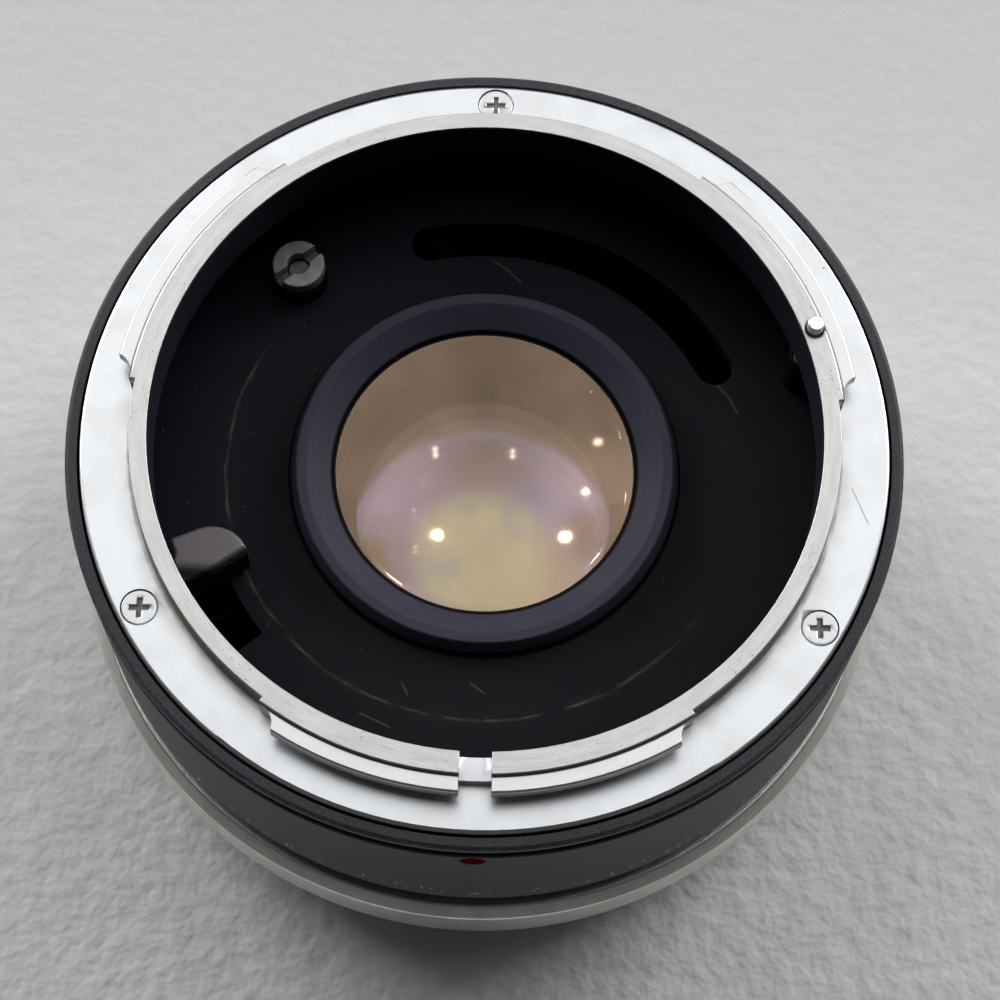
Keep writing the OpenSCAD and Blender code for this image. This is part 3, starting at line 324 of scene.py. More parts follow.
@dataclass(frozen=True)
class MountChrome:
    """Satin chrome plate on turned brass, worn by the lenses that were locked onto it.

    The flange is bright and cool, with faint smudges and a hairline scratch. The seat ring and the
    lugs are duller, with fine scratches round the axis and dark pits. Dirt sits at the foot of the
    ring, and the throat is painted black.
    """

    name: str = "satin_chrome_plated_brass_mount"
    flange_z: Pair = (28.4, 28.72)
    film_r: Pair = (25.0, 26.4)
    foot_dirt_and_shade_r: Pair = (24.9, 25.62)
    hair: tuple[Pair, Pair] = ((26.22, -3.1), (27.35, -5.85))
    wall_r: Pair = (24.9, 25.4)
    wall_z: Pair = (28.66, 30.8)
    seat_z: Pair = (30.62, 31.3)
    step_shade_r: Pair = (25.6, 25.76)
    step_shade_z: Pair = (30.7, 30.99)
    lug_r: Pair = (25.8, 27.0)
    lug_z: Pair = (30.6, 30.9)
    index_x: Pair = (-1.08, 1.08)
    index_y: Pair = (-30.0, -23.9)
    index_z: Pair = (28.72, 30.6)
    throat_r: Pair = (10.0, 24.03)
    throat_z: Pair = (20.0, 30.8)

    def paint(self) -> Material:
        """Returns the material."""
        c = Canvas(self.name, "#dcdfe2", 0.34, 1.0)
        c.lay("#c9c7c5", 0.4, 1.0, c.mottle(3.0, 0.45, 0.75, 4.0), 0.4)
        flange = c.band(c.z, *self.flange_z)
        film = c.both(c.band(c.radius, *self.film_r, 0.7), c.mottle(2.2))
        c.lay("#b5ada2", 0.45, 0.9, flange, film, 0.3)
        # Dirt at the foot of the ring, made darker as painted shade where the ring meets the flange
        foot_dirt_and_shade = c.both(c.band(c.radius, *self.foot_dirt_and_shade_r, 0.12), c.mottle(1.6, 0.2, 0.6, 4.0))
        c.lay("#6b665d", 0.6, 0.6, flange, foot_dirt_and_shade, 0.6)
        c.lay("#77736e", 0.5, 1.0, flange, c.stroke(*self.hair, 0.07), 0.7)
        c.lay("#837e76", 0.5, 0.85, c.zone(self.wall_r, self.wall_z))
        seat = c.band(c.z, *self.seat_z)
        c.lay("#c4c3c1", 0.4, 1.0, seat)
        worn = c.grain(c.round, (0.5, 3.5, 1.0), 0.35, 0.7, 4.0)
        c.lay("#d9d9d8", 0.36, 1.0, seat, worn, 0.5)
        # Scratches are about 0.01 mm wide, drawn at 0.08 mm so that they show
        scratch = c.grain(c.round, (0.08, 2.6, 1.0), 0.62, 0.74)
        c.lay("#918d87", 0.5, 1.0, seat, scratch, 0.6)
        pits = c.both(c.mottle(4.0, 0.48, 0.6), c.grain(c.round, (0.11, 0.3, 0.5), 0.64, 0.7))
        c.lay("#4b4640", 0.6, 0.7, seat, pits, 0.85)
        # Painted shade: a dark line along the step from the seat ring down to the lugs
        c.lay("#716d66", 0.5, 0.9, c.zone(self.step_shade_r, self.step_shade_z, 0.02, 0.02))
        c.lay("#e2e3e3", 0.36, 1.0, c.zone(self.lug_r, self.lug_z, 0.02), 0.7)
        index = c.both(c.band(c.x, *self.index_x, 0.01), c.band(c.y, *self.index_y),
                       c.band(c.z, *self.index_z))
        c.lay("#dfe1e7", 0.42, 1.0, index)
        ticks = c.specks(2.4, 0.05, 0.3)
        c.lay("#77716a", 0.6, 0.6, flange, ticks)
        c.lay("#1c1c28", 0.6, 0.0, c.zone(self.throat_r, self.throat_z, 0.01))
        return c.close(c.mottle(0.12, 0.2, 0.8), 0.004, 0.2)


@dataclass(frozen=True)
class SatinChrome:
    """Satin chrome plate, blasted before plating: pale, slightly warm grey with a fine speckle."""

    name: str
    colour: str
    roughness: float

    def paint(self) -> Material:
        """Returns the material."""
        c = Canvas(self.name, self.colour, self.roughness, 1.0)
        c.lay("#c2bfb9", self.roughness + 0.04, 1.0, c.mottle(3.0, 0.4, 0.7), 0.5)
        # The blasted grit is finer than a pixel, so its speckle is drawn at 0.15 mm
        fine = c.mottle(0.15, 0.3, 0.7)
        c.lay("#e6e4df", self.roughness - 0.06, 1.0, fine, 0.25)
        c.lay("#9a958d", 0.6, 0.8, c.specks(1.3, 0.06, 0.4))
        return c.close(fine, 0.008)


@dataclass(frozen=True)
class BlackAnodised:
    """Black anodised aluminium, bead blasted: charcoal with a fine light grain.

    The rim is a little lighter than the wall, bare metal shows in small nicks low on the wall, and
    the inside is painted dull black against stray light.
    """

    name: str = "black_anodised_aluminium_barrel"
    rim_r: Pair = (29.22, 30.4)
    rim_z: Pair = (27.3, 28.6)
    wall_z: Pair = (13.0, 26.5)
    nicks_z: Pair = (14.3, 15.8)
    corner_r: Pair = (30.02, 30.4)
    corner_z: Pair = (28.05, 28.4)
    inner_r: Pair = (1.0, 29.27)
    inner_z: Pair = (9.0, 28.2)
    shaded_neck_z: Pair = (8.0, 13.18)

    def paint(self) -> Material:
        """Returns the material."""
        c = Canvas(self.name, "#2a282f", 0.46, 0.0)
        c.lay("#333237", 0.5, 0.0, c.mottle(5.0), 0.5)
        rim = c.zone(self.rim_r, self.rim_z)
        c.lay("#313137", 0.5, 0.0, rim)
        # Blasting leaves a grain of about 0.05 mm, drawn at 0.14 mm so that it shows
        fine = c.mottle(0.14, 0.4, 0.68)
        c.lay("#4e4e55", 0.45, 0.0, rim, fine, 0.7)
        c.lay("#403f45", 0.45, 0.0, fine, c.band(c.z, *self.wall_z), 0.35)
        nicks = c.grain(c.round, (2.0, 0.4, 0.9), 0.62, 0.68)
        c.lay("#b9b7b4", 0.5, 0.3, c.band(c.z, *self.nicks_z, 0.4), nicks)
        rubbed = c.grain(c.round, (1.0, 1.6, 1.0), 0.5, 0.6)
        c.lay("#67676d", 0.4, 0.4, c.zone(self.corner_r, self.corner_z, 0.03, 0.05), rubbed, 0.5)
        c.lay("#08080b", 0.6, 0.0, c.zone(self.inner_r, self.inner_z, 0.01))
        # Painted shade: the neck under the wall's overhang is near black
        c.lay("#0e0e10", 0.5, 0.0, c.band(c.z, *self.shaded_neck_z, 0.02))
        return c.close(fine, 0.012, 0.28)


@dataclass(frozen=True)
class InnerBlack:
    """Black anodised aluminium with a dull baffle coat: near black, faintly mottled, dusty."""

    name: str
    colour: str = "#0f0f13"
    roughness: float = 0.6
    gloss: float = 0.2

    def paint(self) -> Material:
        """Returns the material."""
        c = Canvas(self.name, self.colour, self.roughness, 0.0)
        c.lay("#17171b", 0.66, 0.0, c.mottle(2.0), 0.35)
        dust = c.specks(1.6, 0.06, 0.2)
        c.lay("#4a4847", 0.8, 0.0, dust, 0.6)
        return c.close(c.mottle(0.12, 0.3, 0.7), 0.006, self.gloss)


@dataclass(frozen=True)
class PlateBlack:
    """Matte black lacquer on sheet brass, rubbed and dusty.

    The black turns from cool to brownish across the plate. A faint arc shows where lens levers have
    rubbed, a few short scratches cross it, and dust lies all over.
    """

    name: str = "matte_black_lacquer_plate"
    brown_x: Triple = (-16.0, 60.0, 10.0)
    brown_y: Triple = (-40.0, 12.0, 12.0)
    arc_r: float = 19.2
    arc_gap: Triple = (-40.0, 154.0, 10.0)
    scratches: tuple[tuple[Pair, Pair], ...] = (
        ((17.3, 7.7), (18.4, 6.4)), ((18.3, 6.5), (18.9, 5.3)), ((0.1, 17.6), (1.3, 16.8)),
        ((1.2, 16.9), (2.4, 15.7)), ((-5.5, -16.5), (-5.0, -17.5)), ((-0.6, -16.4), (0.5, -17.2)),
        ((-8.4, -18.9), (-6.2, -19.9)))

    def paint(self) -> Material:
        """Returns the material."""
        c = Canvas(self.name, "#0b0c1b", 0.6, 0.0)
        c.lay("#161418", 0.62, 0.0, c.band(c.y, *self.brown_y), c.band(c.x, *self.brown_x))
        c.lay("#11121d", 0.64, 0.0, c.mottle(2.5), 0.5)
        gap = c.between(c.turn, *map(math.radians, self.arc_gap))
        patchy = c.both(c.number("SUBTRACT", 1.0, gap),
                        c.grain(c.round, (0.3, 2.8, 1.0), 0.4, 0.7))
        broad = c.band(c.radius, self.arc_r - 0.4, self.arc_r + 0.3, 0.5)
        c.lay("#2a2828", 0.6, 0.0, patchy, broad, 0.6)
        line = c.band(c.radius, self.arc_r - 0.1, self.arc_r + 0.1, 0.1)
        c.lay("#5c5650", 0.5, 0.0, patchy, line, 0.75)
        for start, end in self.scratches:
            c.lay("#56504b", 0.55, 0.0, c.stroke(start, end, 0.12), 0.6)
        hairs = c.both(c.grain(c.round, (0.05, 1.2, 1.0), 0.7, 0.76), c.mottle(3.0, 0.5, 0.7))
        c.lay("#3b3836", 0.5, 0.0, hairs, 0.6)
        dust = c.specks(1.1, 0.06, 0.3)
        c.lay("#6d6965", 0.8, 0.0, dust, 0.7)
        return c.close(c.mottle(0.15, 0.3, 0.7), 0.006, 0.12)


@dataclass(frozen=True)
class RetainerBlack:
    """Dyed anodised aluminium, turned: dark blue grey with fine turning lines and pale dust.

    Its inner and outer corners are black, and its edge is rubbed in places.
    """

    name: str = "blue_black_anodised_retainer"
    shade_corner_rs: Pair = (11.3, 14.45)
    shade_corner_half: float = 0.12
    rubbed_edge_and_highlight_r: Pair = (13.84, 13.94)

    def paint(self) -> Material:
        """Returns the material."""
        c = Canvas(self.name, "#3a3946", 0.55, 0.0)
        c.lay("#403f4c", 0.58, 0.0, c.mottle(3.0), 0.5)
        # Turning lines are about 0.05 mm apart, drawn at 0.12 mm so that they show
        lines = c.grain(c.round, (0.12, 9.0, 0.12), 0.35, 0.7)
        c.lay("#4a4956", 0.5, 0.0, lines, 0.3)
        # Painted shade: the inner and outer corners are black
        for radius in self.shade_corner_rs:
            corner = c.band(c.radius, radius - self.shade_corner_half, radius + self.shade_corner_half, 0.06)
            c.lay("#0d0d11", 0.6, 0.0, corner)
        # Wear, and a brownish painted highlight along the outer edge, in places
        rubbed = c.grain(c.round, (1.0, 1.5, 1.0), 0.45, 0.65)
        c.lay("#625a53", 0.4, 0.3, c.band(c.radius, *self.rubbed_edge_and_highlight_r), rubbed, 0.5)
        dust = c.specks(1.0, 0.06, 0.3)
        c.lay("#8f8d8c", 0.8, 0.0, dust, 0.7)
        return c.close(lines, 0.004, 0.1)


@dataclass(frozen=True)
class BlastedSteel:
    """Blasted, oil-blackened steel: dull grey with a fine grain where the black has worn off.

    The black is whole below a given height, and in front of a given place along Y.
    """

    name: str
    colour: str
    metallic: float = 0.5
    shade_below: float = 0.0
    shade_ahead: float = -100.0

    def paint(self) -> Material:
        """Returns the material."""
        c = Canvas(self.name, self.colour, 0.5, self.metallic)
        c.lay("#6e696c", 0.55, self.metallic, c.mottle(0.8), 0.6)
        fine = c.mottle(0.1, 0.35, 0.65)
        c.lay("#86817f", 0.45, self.metallic, fine, 0.3)
        c.lay("#a19c97", 0.7, 0.0, c.specks(0.8, 0.08, 0.3))
        # Painted shade: black below the given height and in front of the given place along Y
        for value, limit in ((c.z, self.shade_below), (c.y, self.shade_ahead)):
            c.lay("#08080b", 0.6, 0.0, c.band(value, -200.0, limit, 0.5))
        return c.close(fine, 0.008, 0.2)


@dataclass(frozen=True)
class TurnedMetal:
    """Bare turned metal: bright, with fine tool marks and faint handling marks."""

    name: str
    colour: str
    dull: str
    roughness: float

    def paint(self) -> Material:
        """Returns the material."""
        c = Canvas(self.name, self.colour, self.roughness, 1.0)
        c.lay(self.dull, self.roughness + 0.1, 1.0, c.mottle(0.6), 0.5)
        marks = c.grain(c.spot, (1.4, 0.08, 0.08), 0.45, 0.7)
        c.lay(self.dull, self.roughness + 0.16, 1.0, marks, 0.3)
        return c.close(marks, 0.003)


@dataclass(frozen=True)
class ScrewSteel:
    """Nickel-plated steel screws: bright and satin, with grey dirt left in the cross."""

    name: str
    grime_and_shade_z: Pair

    def paint(self) -> Material:
        """Returns the material."""
        c = Canvas(self.name, "#d3d6d8", 0.36, 1.0)
        fine = c.mottle(0.2, 0.35, 0.65)
        c.lay("#dfe1e3", 0.42, 1.0, fine, 0.4)
        # Grey below the top of the head: grime, and painted shade in the cross and round the head
        c.lay("#85837f", 0.6, 0.3, c.band(c.z, *self.grime_and_shade_z, 0.04))
        return c.close(fine, 0.004)


@dataclass(frozen=True)
class RedEnamel:
    """Enamel paint run into a drilled pocket: dark red, dulled by age, a little uneven."""

    name: str = "dark_red_enamel_fill"

    def paint(self) -> Material:
        """Returns the material."""
        c = Canvas(self.name, "#640c1a", 0.55, 0.0)
        uneven = c.mottle(0.35)
        c.lay("#4a0914", 0.6, 0.0, uneven)
        return c.close(uneven, 0.02, 0.0)


@dataclass(frozen=True)
class PaintedLightPatch:
    """A round patch of a coating that has another thickness, and so another tint."""

    tint: str
    spot: Pair
    radius: float
    soft: float


@dataclass(frozen=True)
class CoatedGlass:
    """Polished optical glass with a vacuum coating, which reflects a tint and lets the rest pass.

    The coating's share grows towards the glass's edge. A coating that came out uneven has patches
    of other tints.
    """

    name: str
    tint: str
    share: float
    dusty: bool = False
    painted_light_patches: tuple[PaintedLightPatch, ...] = ()
    haze: float = 0.05
    edge_gain: float = 2.5
    clear: tuple[float, ...] = (0.97, 0.97, 0.96, 1.0)

    def paint(self) -> Material:
        """Returns the material."""
        c = Canvas(self.name, self.tint, self.haze, 1.0)
        # Painted reflections and painted shade: round patches of other tints laid on the coating
        for patch in self.painted_light_patches:
            x, y = patch.spot
            away = c.vector("DISTANCE", c.flat, (x * MM, y * MM, 0.0))
            here = c.band(away, -100.0, patch.radius, patch.soft)
            c.lay(patch.tint, self.haze, 1.0, here, c.mottle(3.0, 0.1, 0.5))
        edge = add(c.tree, "ShaderNodeLayerWeight", {"Blend": 0.15}).outputs["Facing"]
        amount = c.ramp(edge, 0.0, 1.0, self.share, min(1.0, self.edge_gain * self.share))
        if self.dusty:
            dust = c.both(c.specks(0.9, 0.06, 0.25), 0.5)
            c.lay("#e4e0da", 0.6, 0.0, dust)
            amount = c.number("MAXIMUM", amount, dust)
        # A soft smear of old lubricant and haze, a few millimetres across
        smear = c.ramp(c.mottle(5.0, 0.3, 0.7), 0.0, 1.0, 0.88, 1.12)
        amount = c.number("MULTIPLY", amount, smear)
        coat = add(c.tree, "ShaderNodeBsdfPrincipled",
                   {"Base Color": c.colour, "Roughness": c.roughness, "Metallic": c.metallic})
        clear = add(c.tree, "ShaderNodeBsdfTransparent", {"Color": self.clear})
        mixed = add(c.tree, "ShaderNodeMixShader",
                    {0: amount, 1: clear.outputs[0], 2: coat.outputs[0]})
        add(c.tree, "ShaderNodeOutputMaterial", {0: mixed.outputs[0]})
        return c.material


@dataclass(frozen=True)
class FloorPaper:
    """Matte paper over a table: pale grey, softly mottled.

    The near part of the paper is crumpled. The far part lies smoother and is a little grubby.
    """

    name: str = "pale_grey_paper"
    far_shade_y: Triple = (30.0, 3000.0, 40.0)
    near_y: Triple = (-500.0, 0.0, 60.0)

    def paint(self) -> Material:
        """Returns the material."""
        c = Canvas(self.name, "#e2e1e1", 0.8, 0.0)
        c.lay("#d6d5d4", 0.8, 0.0, c.mottle(6.0, 0.3, 0.7, 4.0), 0.7)
        # Painted shade: the paper is darker at the far end
        c.lay("#cbcaca", 0.8, 0.0, c.band(c.y, *self.far_shade_y))
        near = c.ramp(c.band(c.y, *self.near_y), 0.0, 1.0, 0.3, 1.0)
        return c.close(c.both(c.mottle(1.7, 0.3, 0.7), near), 0.12)


Finish = (MountChrome | SatinChrome | BlackAnodised | InnerBlack | PlateBlack | RetainerBlack
          | BlastedSteel | TurnedMetal | ScrewSteel | RedEnamel | CoatedGlass | FloorPaper)


@functools.cache
def material_of(finish: Finish) -> Material:
    """Paints a finish once and returns its material each time."""
    return finish.paint()


RING_CHROME = SatinChrome("satin_chrome_plated_locking_ring", "#eae7e1", 0.34)
REAR_CHROME = SatinChrome("satin_chrome_plated_rear_mount", "#cdcbc7", 0.36)
CELL_BLACK = InnerBlack("black_anodised_aluminium_cell")
GUARD_BLACK = InnerBlack("black_anodised_aluminium_guard", "#1d1d21", 0.5, 0.4)
BUSH_BLACK = InnerBlack("black_oxide_bush", "#09090c", 0.6, 0.1)
TAB_BLACK = InnerBlack("black_oxide_signal_tab", "#030304", 0.7, 0.0)
EDGE_BLACK = InnerBlack("black_edge_lacquer_on_ground_glass", "#08080b", 0.7)
# The finger and the nut are painted black as shade low down, and the finger also at its front
FINGER_STEEL = BlastedSteel("blasted_steel_finger_painted_shade", "#6a656a", 0.5, 25.2, -9.7)
NUT_STEEL = BlastedSteel("blasted_steel_nut_painted_shade", "#8c888d", 0.5, 23.9)
LEVER_STEEL = BlastedSteel("blasted_black_oxide_steel_lever", "#6a686a")
COUPLER_STEEL = BlastedSteel("blasted_black_oxide_steel_coupler", "#59585a", 0.7)
ROD_STEEL = BlastedSteel("blasted_black_oxide_steel_rod", "#4b494d", 0.6)
PIN_STEEL = TurnedMetal("turned_stainless_steel_pin", "#efeff0", "#dcdcdd", 0.32)
SPRING_STEEL = TurnedMetal("drawn_spring_steel_wire", "#b1b2b3", "#8b8b8a", 0.25)
BRASS = TurnedMetal("turned_brass_spacer", "#c9a765", "#a98a4e", 0.3)
FRONT_SCREWS = ScrewSteel("nickel_plated_front_screws", (26.0, 28.44))
REAR_SCREWS = ScrewSteel("nickel_plated_rear_screws", (6.82, 10.0))
# The round patches on the amber and lilac glass are painted reflections and painted shade
AMBER_GLASS = CoatedGlass(
    "amber_coated_front_glass", "#cdaf95", 0.22, True,
    (PaintedLightPatch("#ffdabc", (9.5, 0.0), 3.0, 4.0), PaintedLightPatch("#af957f", (0.0, 7.5), 4.0, 5.0)))
PALE_GLASS = CoatedGlass("pale_amber_coated_glass", "#efd9c2", 0.04)
LILAC_GLASS = CoatedGlass(
    "lilac_coated_glass", "#c1afee", 0.36, False,
    (PaintedLightPatch("#463b68", (0.0, 4.6), 3.4, 4.0), PaintedLightPatch("#f3d4b6", (5.0, -6.0), 4.0, 3.0),
     PaintedLightPatch("#664f40", (-8.4, -4.4), 3.0, 2.2), PaintedLightPatch("#7d665a", (8.4, -1.2), 1.8, 1.6),
     PaintedLightPatch("#fffcc8", (-0.2, -3.5), 5.1, 1.4)), 0.12)
GREEN_GLASS = CoatedGlass("yellow_green_coated_glass", "#fffbb8", 0.44)


def reach(face: bmesh.types.BMFace, edge: bmesh.types.BMEdge) -> float:
    """Measures how far a face reaches from one of its edges.

    Args:
        face: The face.
        edge: One of its edges.

    Returns:
        Distance of the face's furthest corner from the edge's line, in metres.
    """
    first, second = (vert.co for vert in edge.verts)
    way = (second - first).normalized()
    return max(((vert.co - first) - way * (vert.co - first).dot(way)).length
               for vert in face.verts)


def middle_of(edge: bmesh.types.BMEdge) -> Vector:
    """Returns an edge's middle in millimetres."""
    return (edge.verts[0].co + edge.verts[1].co) / (2 * MM)


def everywhere(_: Vector) -> bool:
    """Allows every place."""
    return True


def rounded(node: str, radius: float, segments: int = 2, where: Test = everywhere,
            joined: Test = everywhere) -> Mesh:
    """Copies a CAD node's mesh and rounds its outer edges where both faces have room.

    Args:
        node: Name of the CAD node.
        radius: Width of the rounding in millimetres.
        segments: Facets across the rounding.
        where: Tells from an edge's middle, in millimetres, if it may be rounded.
        joined: Tells in the same way if flat faces may be joined there.

    Returns:
        The rounded copy.
    """
    bm = bmesh.new()
    bm.from_mesh(bpy.data.objects[node].data)
    bmesh.ops.remove_doubles(bm, verts=bm.verts[:], dist=SOLID_WELD * MM)
    bmesh.ops.dissolve_limit(bm, angle_limit=FLAT_ANGLE,
                             verts=[vert for vert in bm.verts if joined(vert.co / MM)],
                             edges=[edge for edge in bm.edges if joined(middle_of(edge))])
    sharp = [edge for edge in bm.edges
             if edge.is_convex and edge.calc_face_angle(0.0) > SHARP_ANGLE
             and all(reach(face, edge) > ROOM * radius * MM for face in edge.link_faces)
             and where(middle_of(edge))]
    bmesh.ops.bevel(bm, geom=sharp, offset=radius * MM, offset_type="OFFSET", segments=segments,
                    profile=0.5, affect="EDGES", clamp_overlap=False, loop_slide=False,
                    material=-1)
    bmesh.ops.remove_doubles(bm, verts=bm.verts[:], dist=ROUND_WELD * MM)
    return bm


def link(name: str, data: bpy.types.ID) -> bpy.types.Object:
    """Makes an object of a mesh, a lamp or a camera, puts it in the scene and returns it."""
    made = bpy.data.objects.new(name, data)
    bpy.context.scene.collection.objects.link(made)
    return made


def publish(bm: Mesh, name: str, node: str, slot: Slot, *finishes: Finish,
            body: Body | None = Body.FIXED, smooth: float = 40.0,
            flat_below: float = -1.0) -> bpy.types.Object:
    """Makes a piece of a bmesh, dresses it and hands it to the frame.

    Args:
        bm: The shape, which is freed.
        name: Name of the piece.
        node: CAD node that it stands for.
        slot: Material slot that it takes its finish from.
        *finishes: Finishes in the order of the faces' material numbers.
        body: Body that it rides on, or None for a piece that is blended between two.
        smooth: Degrees between faces up to which their edge is shaded smooth.
        flat_below: Height in millimetres under which faces that look up or down are shaded flat.

    Returns:
        The piece.
    """
    bm.normal_update()
    for face in bm.faces:
        face.smooth = (abs(face.normal.z) < UPRIGHT
                       or face.calc_center_median().z > flat_below * MM)
    mesh = bpy.data.meshes.new(name)
    bm.to_mesh(mesh)
    bm.free()
    mesh.set_sharp_from_angle(angle=math.radians(smooth))
    for finish in finishes:
        mesh.materials.append(material_of(finish))
    piece = link(name, mesh)
    weights = piece.modifiers.new("normals_by_area", "WEIGHTED_NORMAL")
    weights.keep_sharp = True
    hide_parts(node)
    if body is not None:
        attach(piece, body.value)
    LOG.info("%s, %d faces", name, len(mesh.polygons))
    return piece


def soften(node: str, name: str, slot: Slot, finish: Finish, edge: float, segments: int = 2,
           body: Body = Body.FIXED) -> None:
    """Makes a piece of a CAD node with all its outer edges rounded, as rounded and publish do."""
    publish(rounded(node, edge, segments), name, node, slot, finish, body=body)


def dress(node: str, finish: Finish) -> None:
    """Gives a CAD node that stays as it is a finish.

    Args:
        node: Name of the CAD node.
        finish: Its finish.
    """
    for holder in bpy.data.objects[node].material_slots:
        holder.material = material_of(finish)
    LOG.info("%s keeps its solid, in %s", node, finish.name)


def polar(radius: float, angle: float, z: float) -> Vector:
    """Places a point by millimetres from the axis, degrees round it and millimetres up."""
    turn = math.radians(angle)
    return Vector((radius * math.cos(turn), radius * math.sin(turn), z)) * MM


def spun(points: list[Pair], steps: int = STEPS) -> Mesh:
    """Spins an outline round the axis.

    Args:
        points: Radius and height in millimetres along the outline, from the axis to the axis.
        steps: Facets round the axis.

    Returns:
        The closed shape.
    """
    bm = bmesh.new()
    verts = [bm.verts.new((r * MM, 0.0, z * MM)) for r, z in points]
    edges = [bm.edges.new(pair) for pair in zip(verts, verts[1:])]
    bmesh.ops.spin(bm, geom=verts + edges, cent=(0, 0, 0), axis=UP, dvec=(0, 0, 0),
                   angle=math.tau, steps=steps, use_merge=True)
    bmesh.ops.remove_doubles(bm, verts=bm.verts[:], dist=SPUN_WELD * MM)
    bmesh.ops.recalc_face_normals(bm, faces=bm.faces[:])
    return bm


@dataclass
class FrontEnd:
    """Bayonet mount with its screws, and the sprung pin in its seat."""

    mount_edge: float = 0.05
    flat_r: float = 28.6
    bore_reach: float = 1.5
    screw_edge: float = 0.12
    screw_pos_r: float = 27.4
    screw_angles: Triple = (90.0, 210.0, 330.0)
    head_from_z: float = 27.61
    head_reach: float = 2.4
    head_fill: float = 1.09
    cross_z: float = 28.10
    cross_slack: float = 0.02
    cross_reach: float = 1.08
    cross_rise: float = 0.27
    cross_shrink: float = 0.76
    pin_r: float = 0.6
    pin_collar_r: float = 0.98
    pin_heights: tuple[float, ...] = (21.8, 25.6, 26.4, 31.8)
    pin_edge: float = 0.06

    def build(self) -> None:
        """Builds the mount, its screws, the seat pin and the pin's bush."""
        # The counterbores nearly touch the flange's chamfer, so both keep their sharp edges
        middles = self.screw_middles()
        mount = rounded("front_mount", self.mount_edge, 3, lambda spot: (
            spot.xy.length < self.flat_r
            and all((spot.xy - middle.xy).length > self.bore_reach for middle in middles)))
        publish(mount, "chrome_bayonet_mount", "front_mount", Slot.CHROME, MountChrome())
        self.build_screws()
        self.build_pin()
        soften("pin_bush", "black_pin_bush", Slot.INNER, BUSH_BLACK, self.pin_edge)

    def screw_middles(self) -> list[Vector]:
        """Returns a point on each screw's axis, in millimetres."""
        return [polar(self.screw_pos_r, angle, 0.0) / MM for angle in self.screw_angles]

    def build_screws(self) -> None:
        """Builds the screws, whose heads have a rounded edge and nearly fill their counterbores."""
        middles = self.screw_middles()
        bm = rounded("front_mount_screws", self.screw_edge, 3, lambda spot: any(
            (spot.xy - middle.xy).length > self.cross_reach for middle in middles))
        for middle in middles:
            away = {vert: (vert.co.xy / MM - middle.xy).length for vert in bm.verts}
            head = [vert for vert in bm.verts
                    if vert.co.z > self.head_from_z * MM and away[vert] < self.head_reach]
            self.spread(bm, head, middle, self.head_fill)
            cross = [vert for vert in head if vert.co.z > (self.cross_z - self.cross_slack) * MM
                     and (vert.co.xy / MM - middle.xy).length < self.cross_reach]
            self.spread(bm, cross, middle, self.cross_shrink)
        # Dirt packed in the cross leaves it shallow
        floor = [vert for vert in bm.verts
                 if abs(vert.co.z - self.cross_z * MM) < self.cross_slack * MM]
        bmesh.ops.translate(bm, vec=(0, 0, self.cross_rise * MM), verts=floor)
        publish(bm, "cross_head_mount_screws", "front_mount_screws", Slot.STEEL, FRONT_SCREWS)

    @staticmethod
    def spread(bm: Mesh, verts: list, middle: Vector, rate: float) -> None:
        """Moves vertices away from a screw's axis, or towards it, at the same height."""
        bmesh.ops.scale(bm, vec=(rate, rate, 1.0), verts=verts,
                        space=Matrix.Translation(-middle * MM))

    def build_pin(self) -> None:
        """Builds the seat pin, with its collar and a flat, bright end."""
        foot, collar_low, collar_high, end = self.pin_heights
        pin = spun([(0.0, foot), (self.pin_r, foot), (self.pin_r, collar_low),
                    (self.pin_collar_r, collar_low), (self.pin_collar_r, collar_high),
                    (self.pin_r, collar_high), (self.pin_r, end - self.pin_edge),
                    (self.pin_r - self.pin_edge, end), (0.0, end)], SMALL_STEPS)
        bmesh.ops.translate(pin, vec=polar(*PIN_PLACE, 0.0), verts=pin.verts[:])
        publish(pin, "polished_seat_pin", "seat_pin", Slot.STEEL, PIN_STEEL, body=Body.PIN)


@dataclass
class Housing:
    """Black barrel with its red index dot."""

    edge: float = 0.06
    barrel_r: float = 30.15
    dot_r: float = 0.9
    dot_z: float = 25.1
    dot_depth: float = 0.35
    dot_dome: float = 0.06
    pocket_reach: float = 0.99

    def build(self) -> None:
        """Builds the barrel and the dot, whose pocket nearly meets the groove and stays sharp."""
        barrel = rounded("barrel", self.edge, where=lambda spot: (
            spot.y > 0 or math.hypot(spot.x, spot.z - self.dot_z) > self.pocket_reach))
        publish(barrel, "anodised_barrel", "barrel", Slot.BARREL, BlackAnodised())
        dome = [(self.dot_r * math.cos(turn), self.dot_dome * math.sin(turn))
                for turn in map(math.radians, range(0, 90, 15))]
        dot = spun([(0.0, -self.dot_depth), (self.dot_r, -self.dot_depth), *dome,
                    (0.0, self.dot_dome)], SMALL_STEPS)
        place = (Matrix.Translation((0, -(self.barrel_r - self.dot_dome) * MM, self.dot_z * MM))
                 @ Matrix.Rotation(math.pi / 2, 4, "X"))
        bmesh.ops.transform(dot, matrix=place, verts=dot.verts[:])
        publish(dot, "red_index_dot", "index_dot", Slot.ENAMEL, RedEnamel())


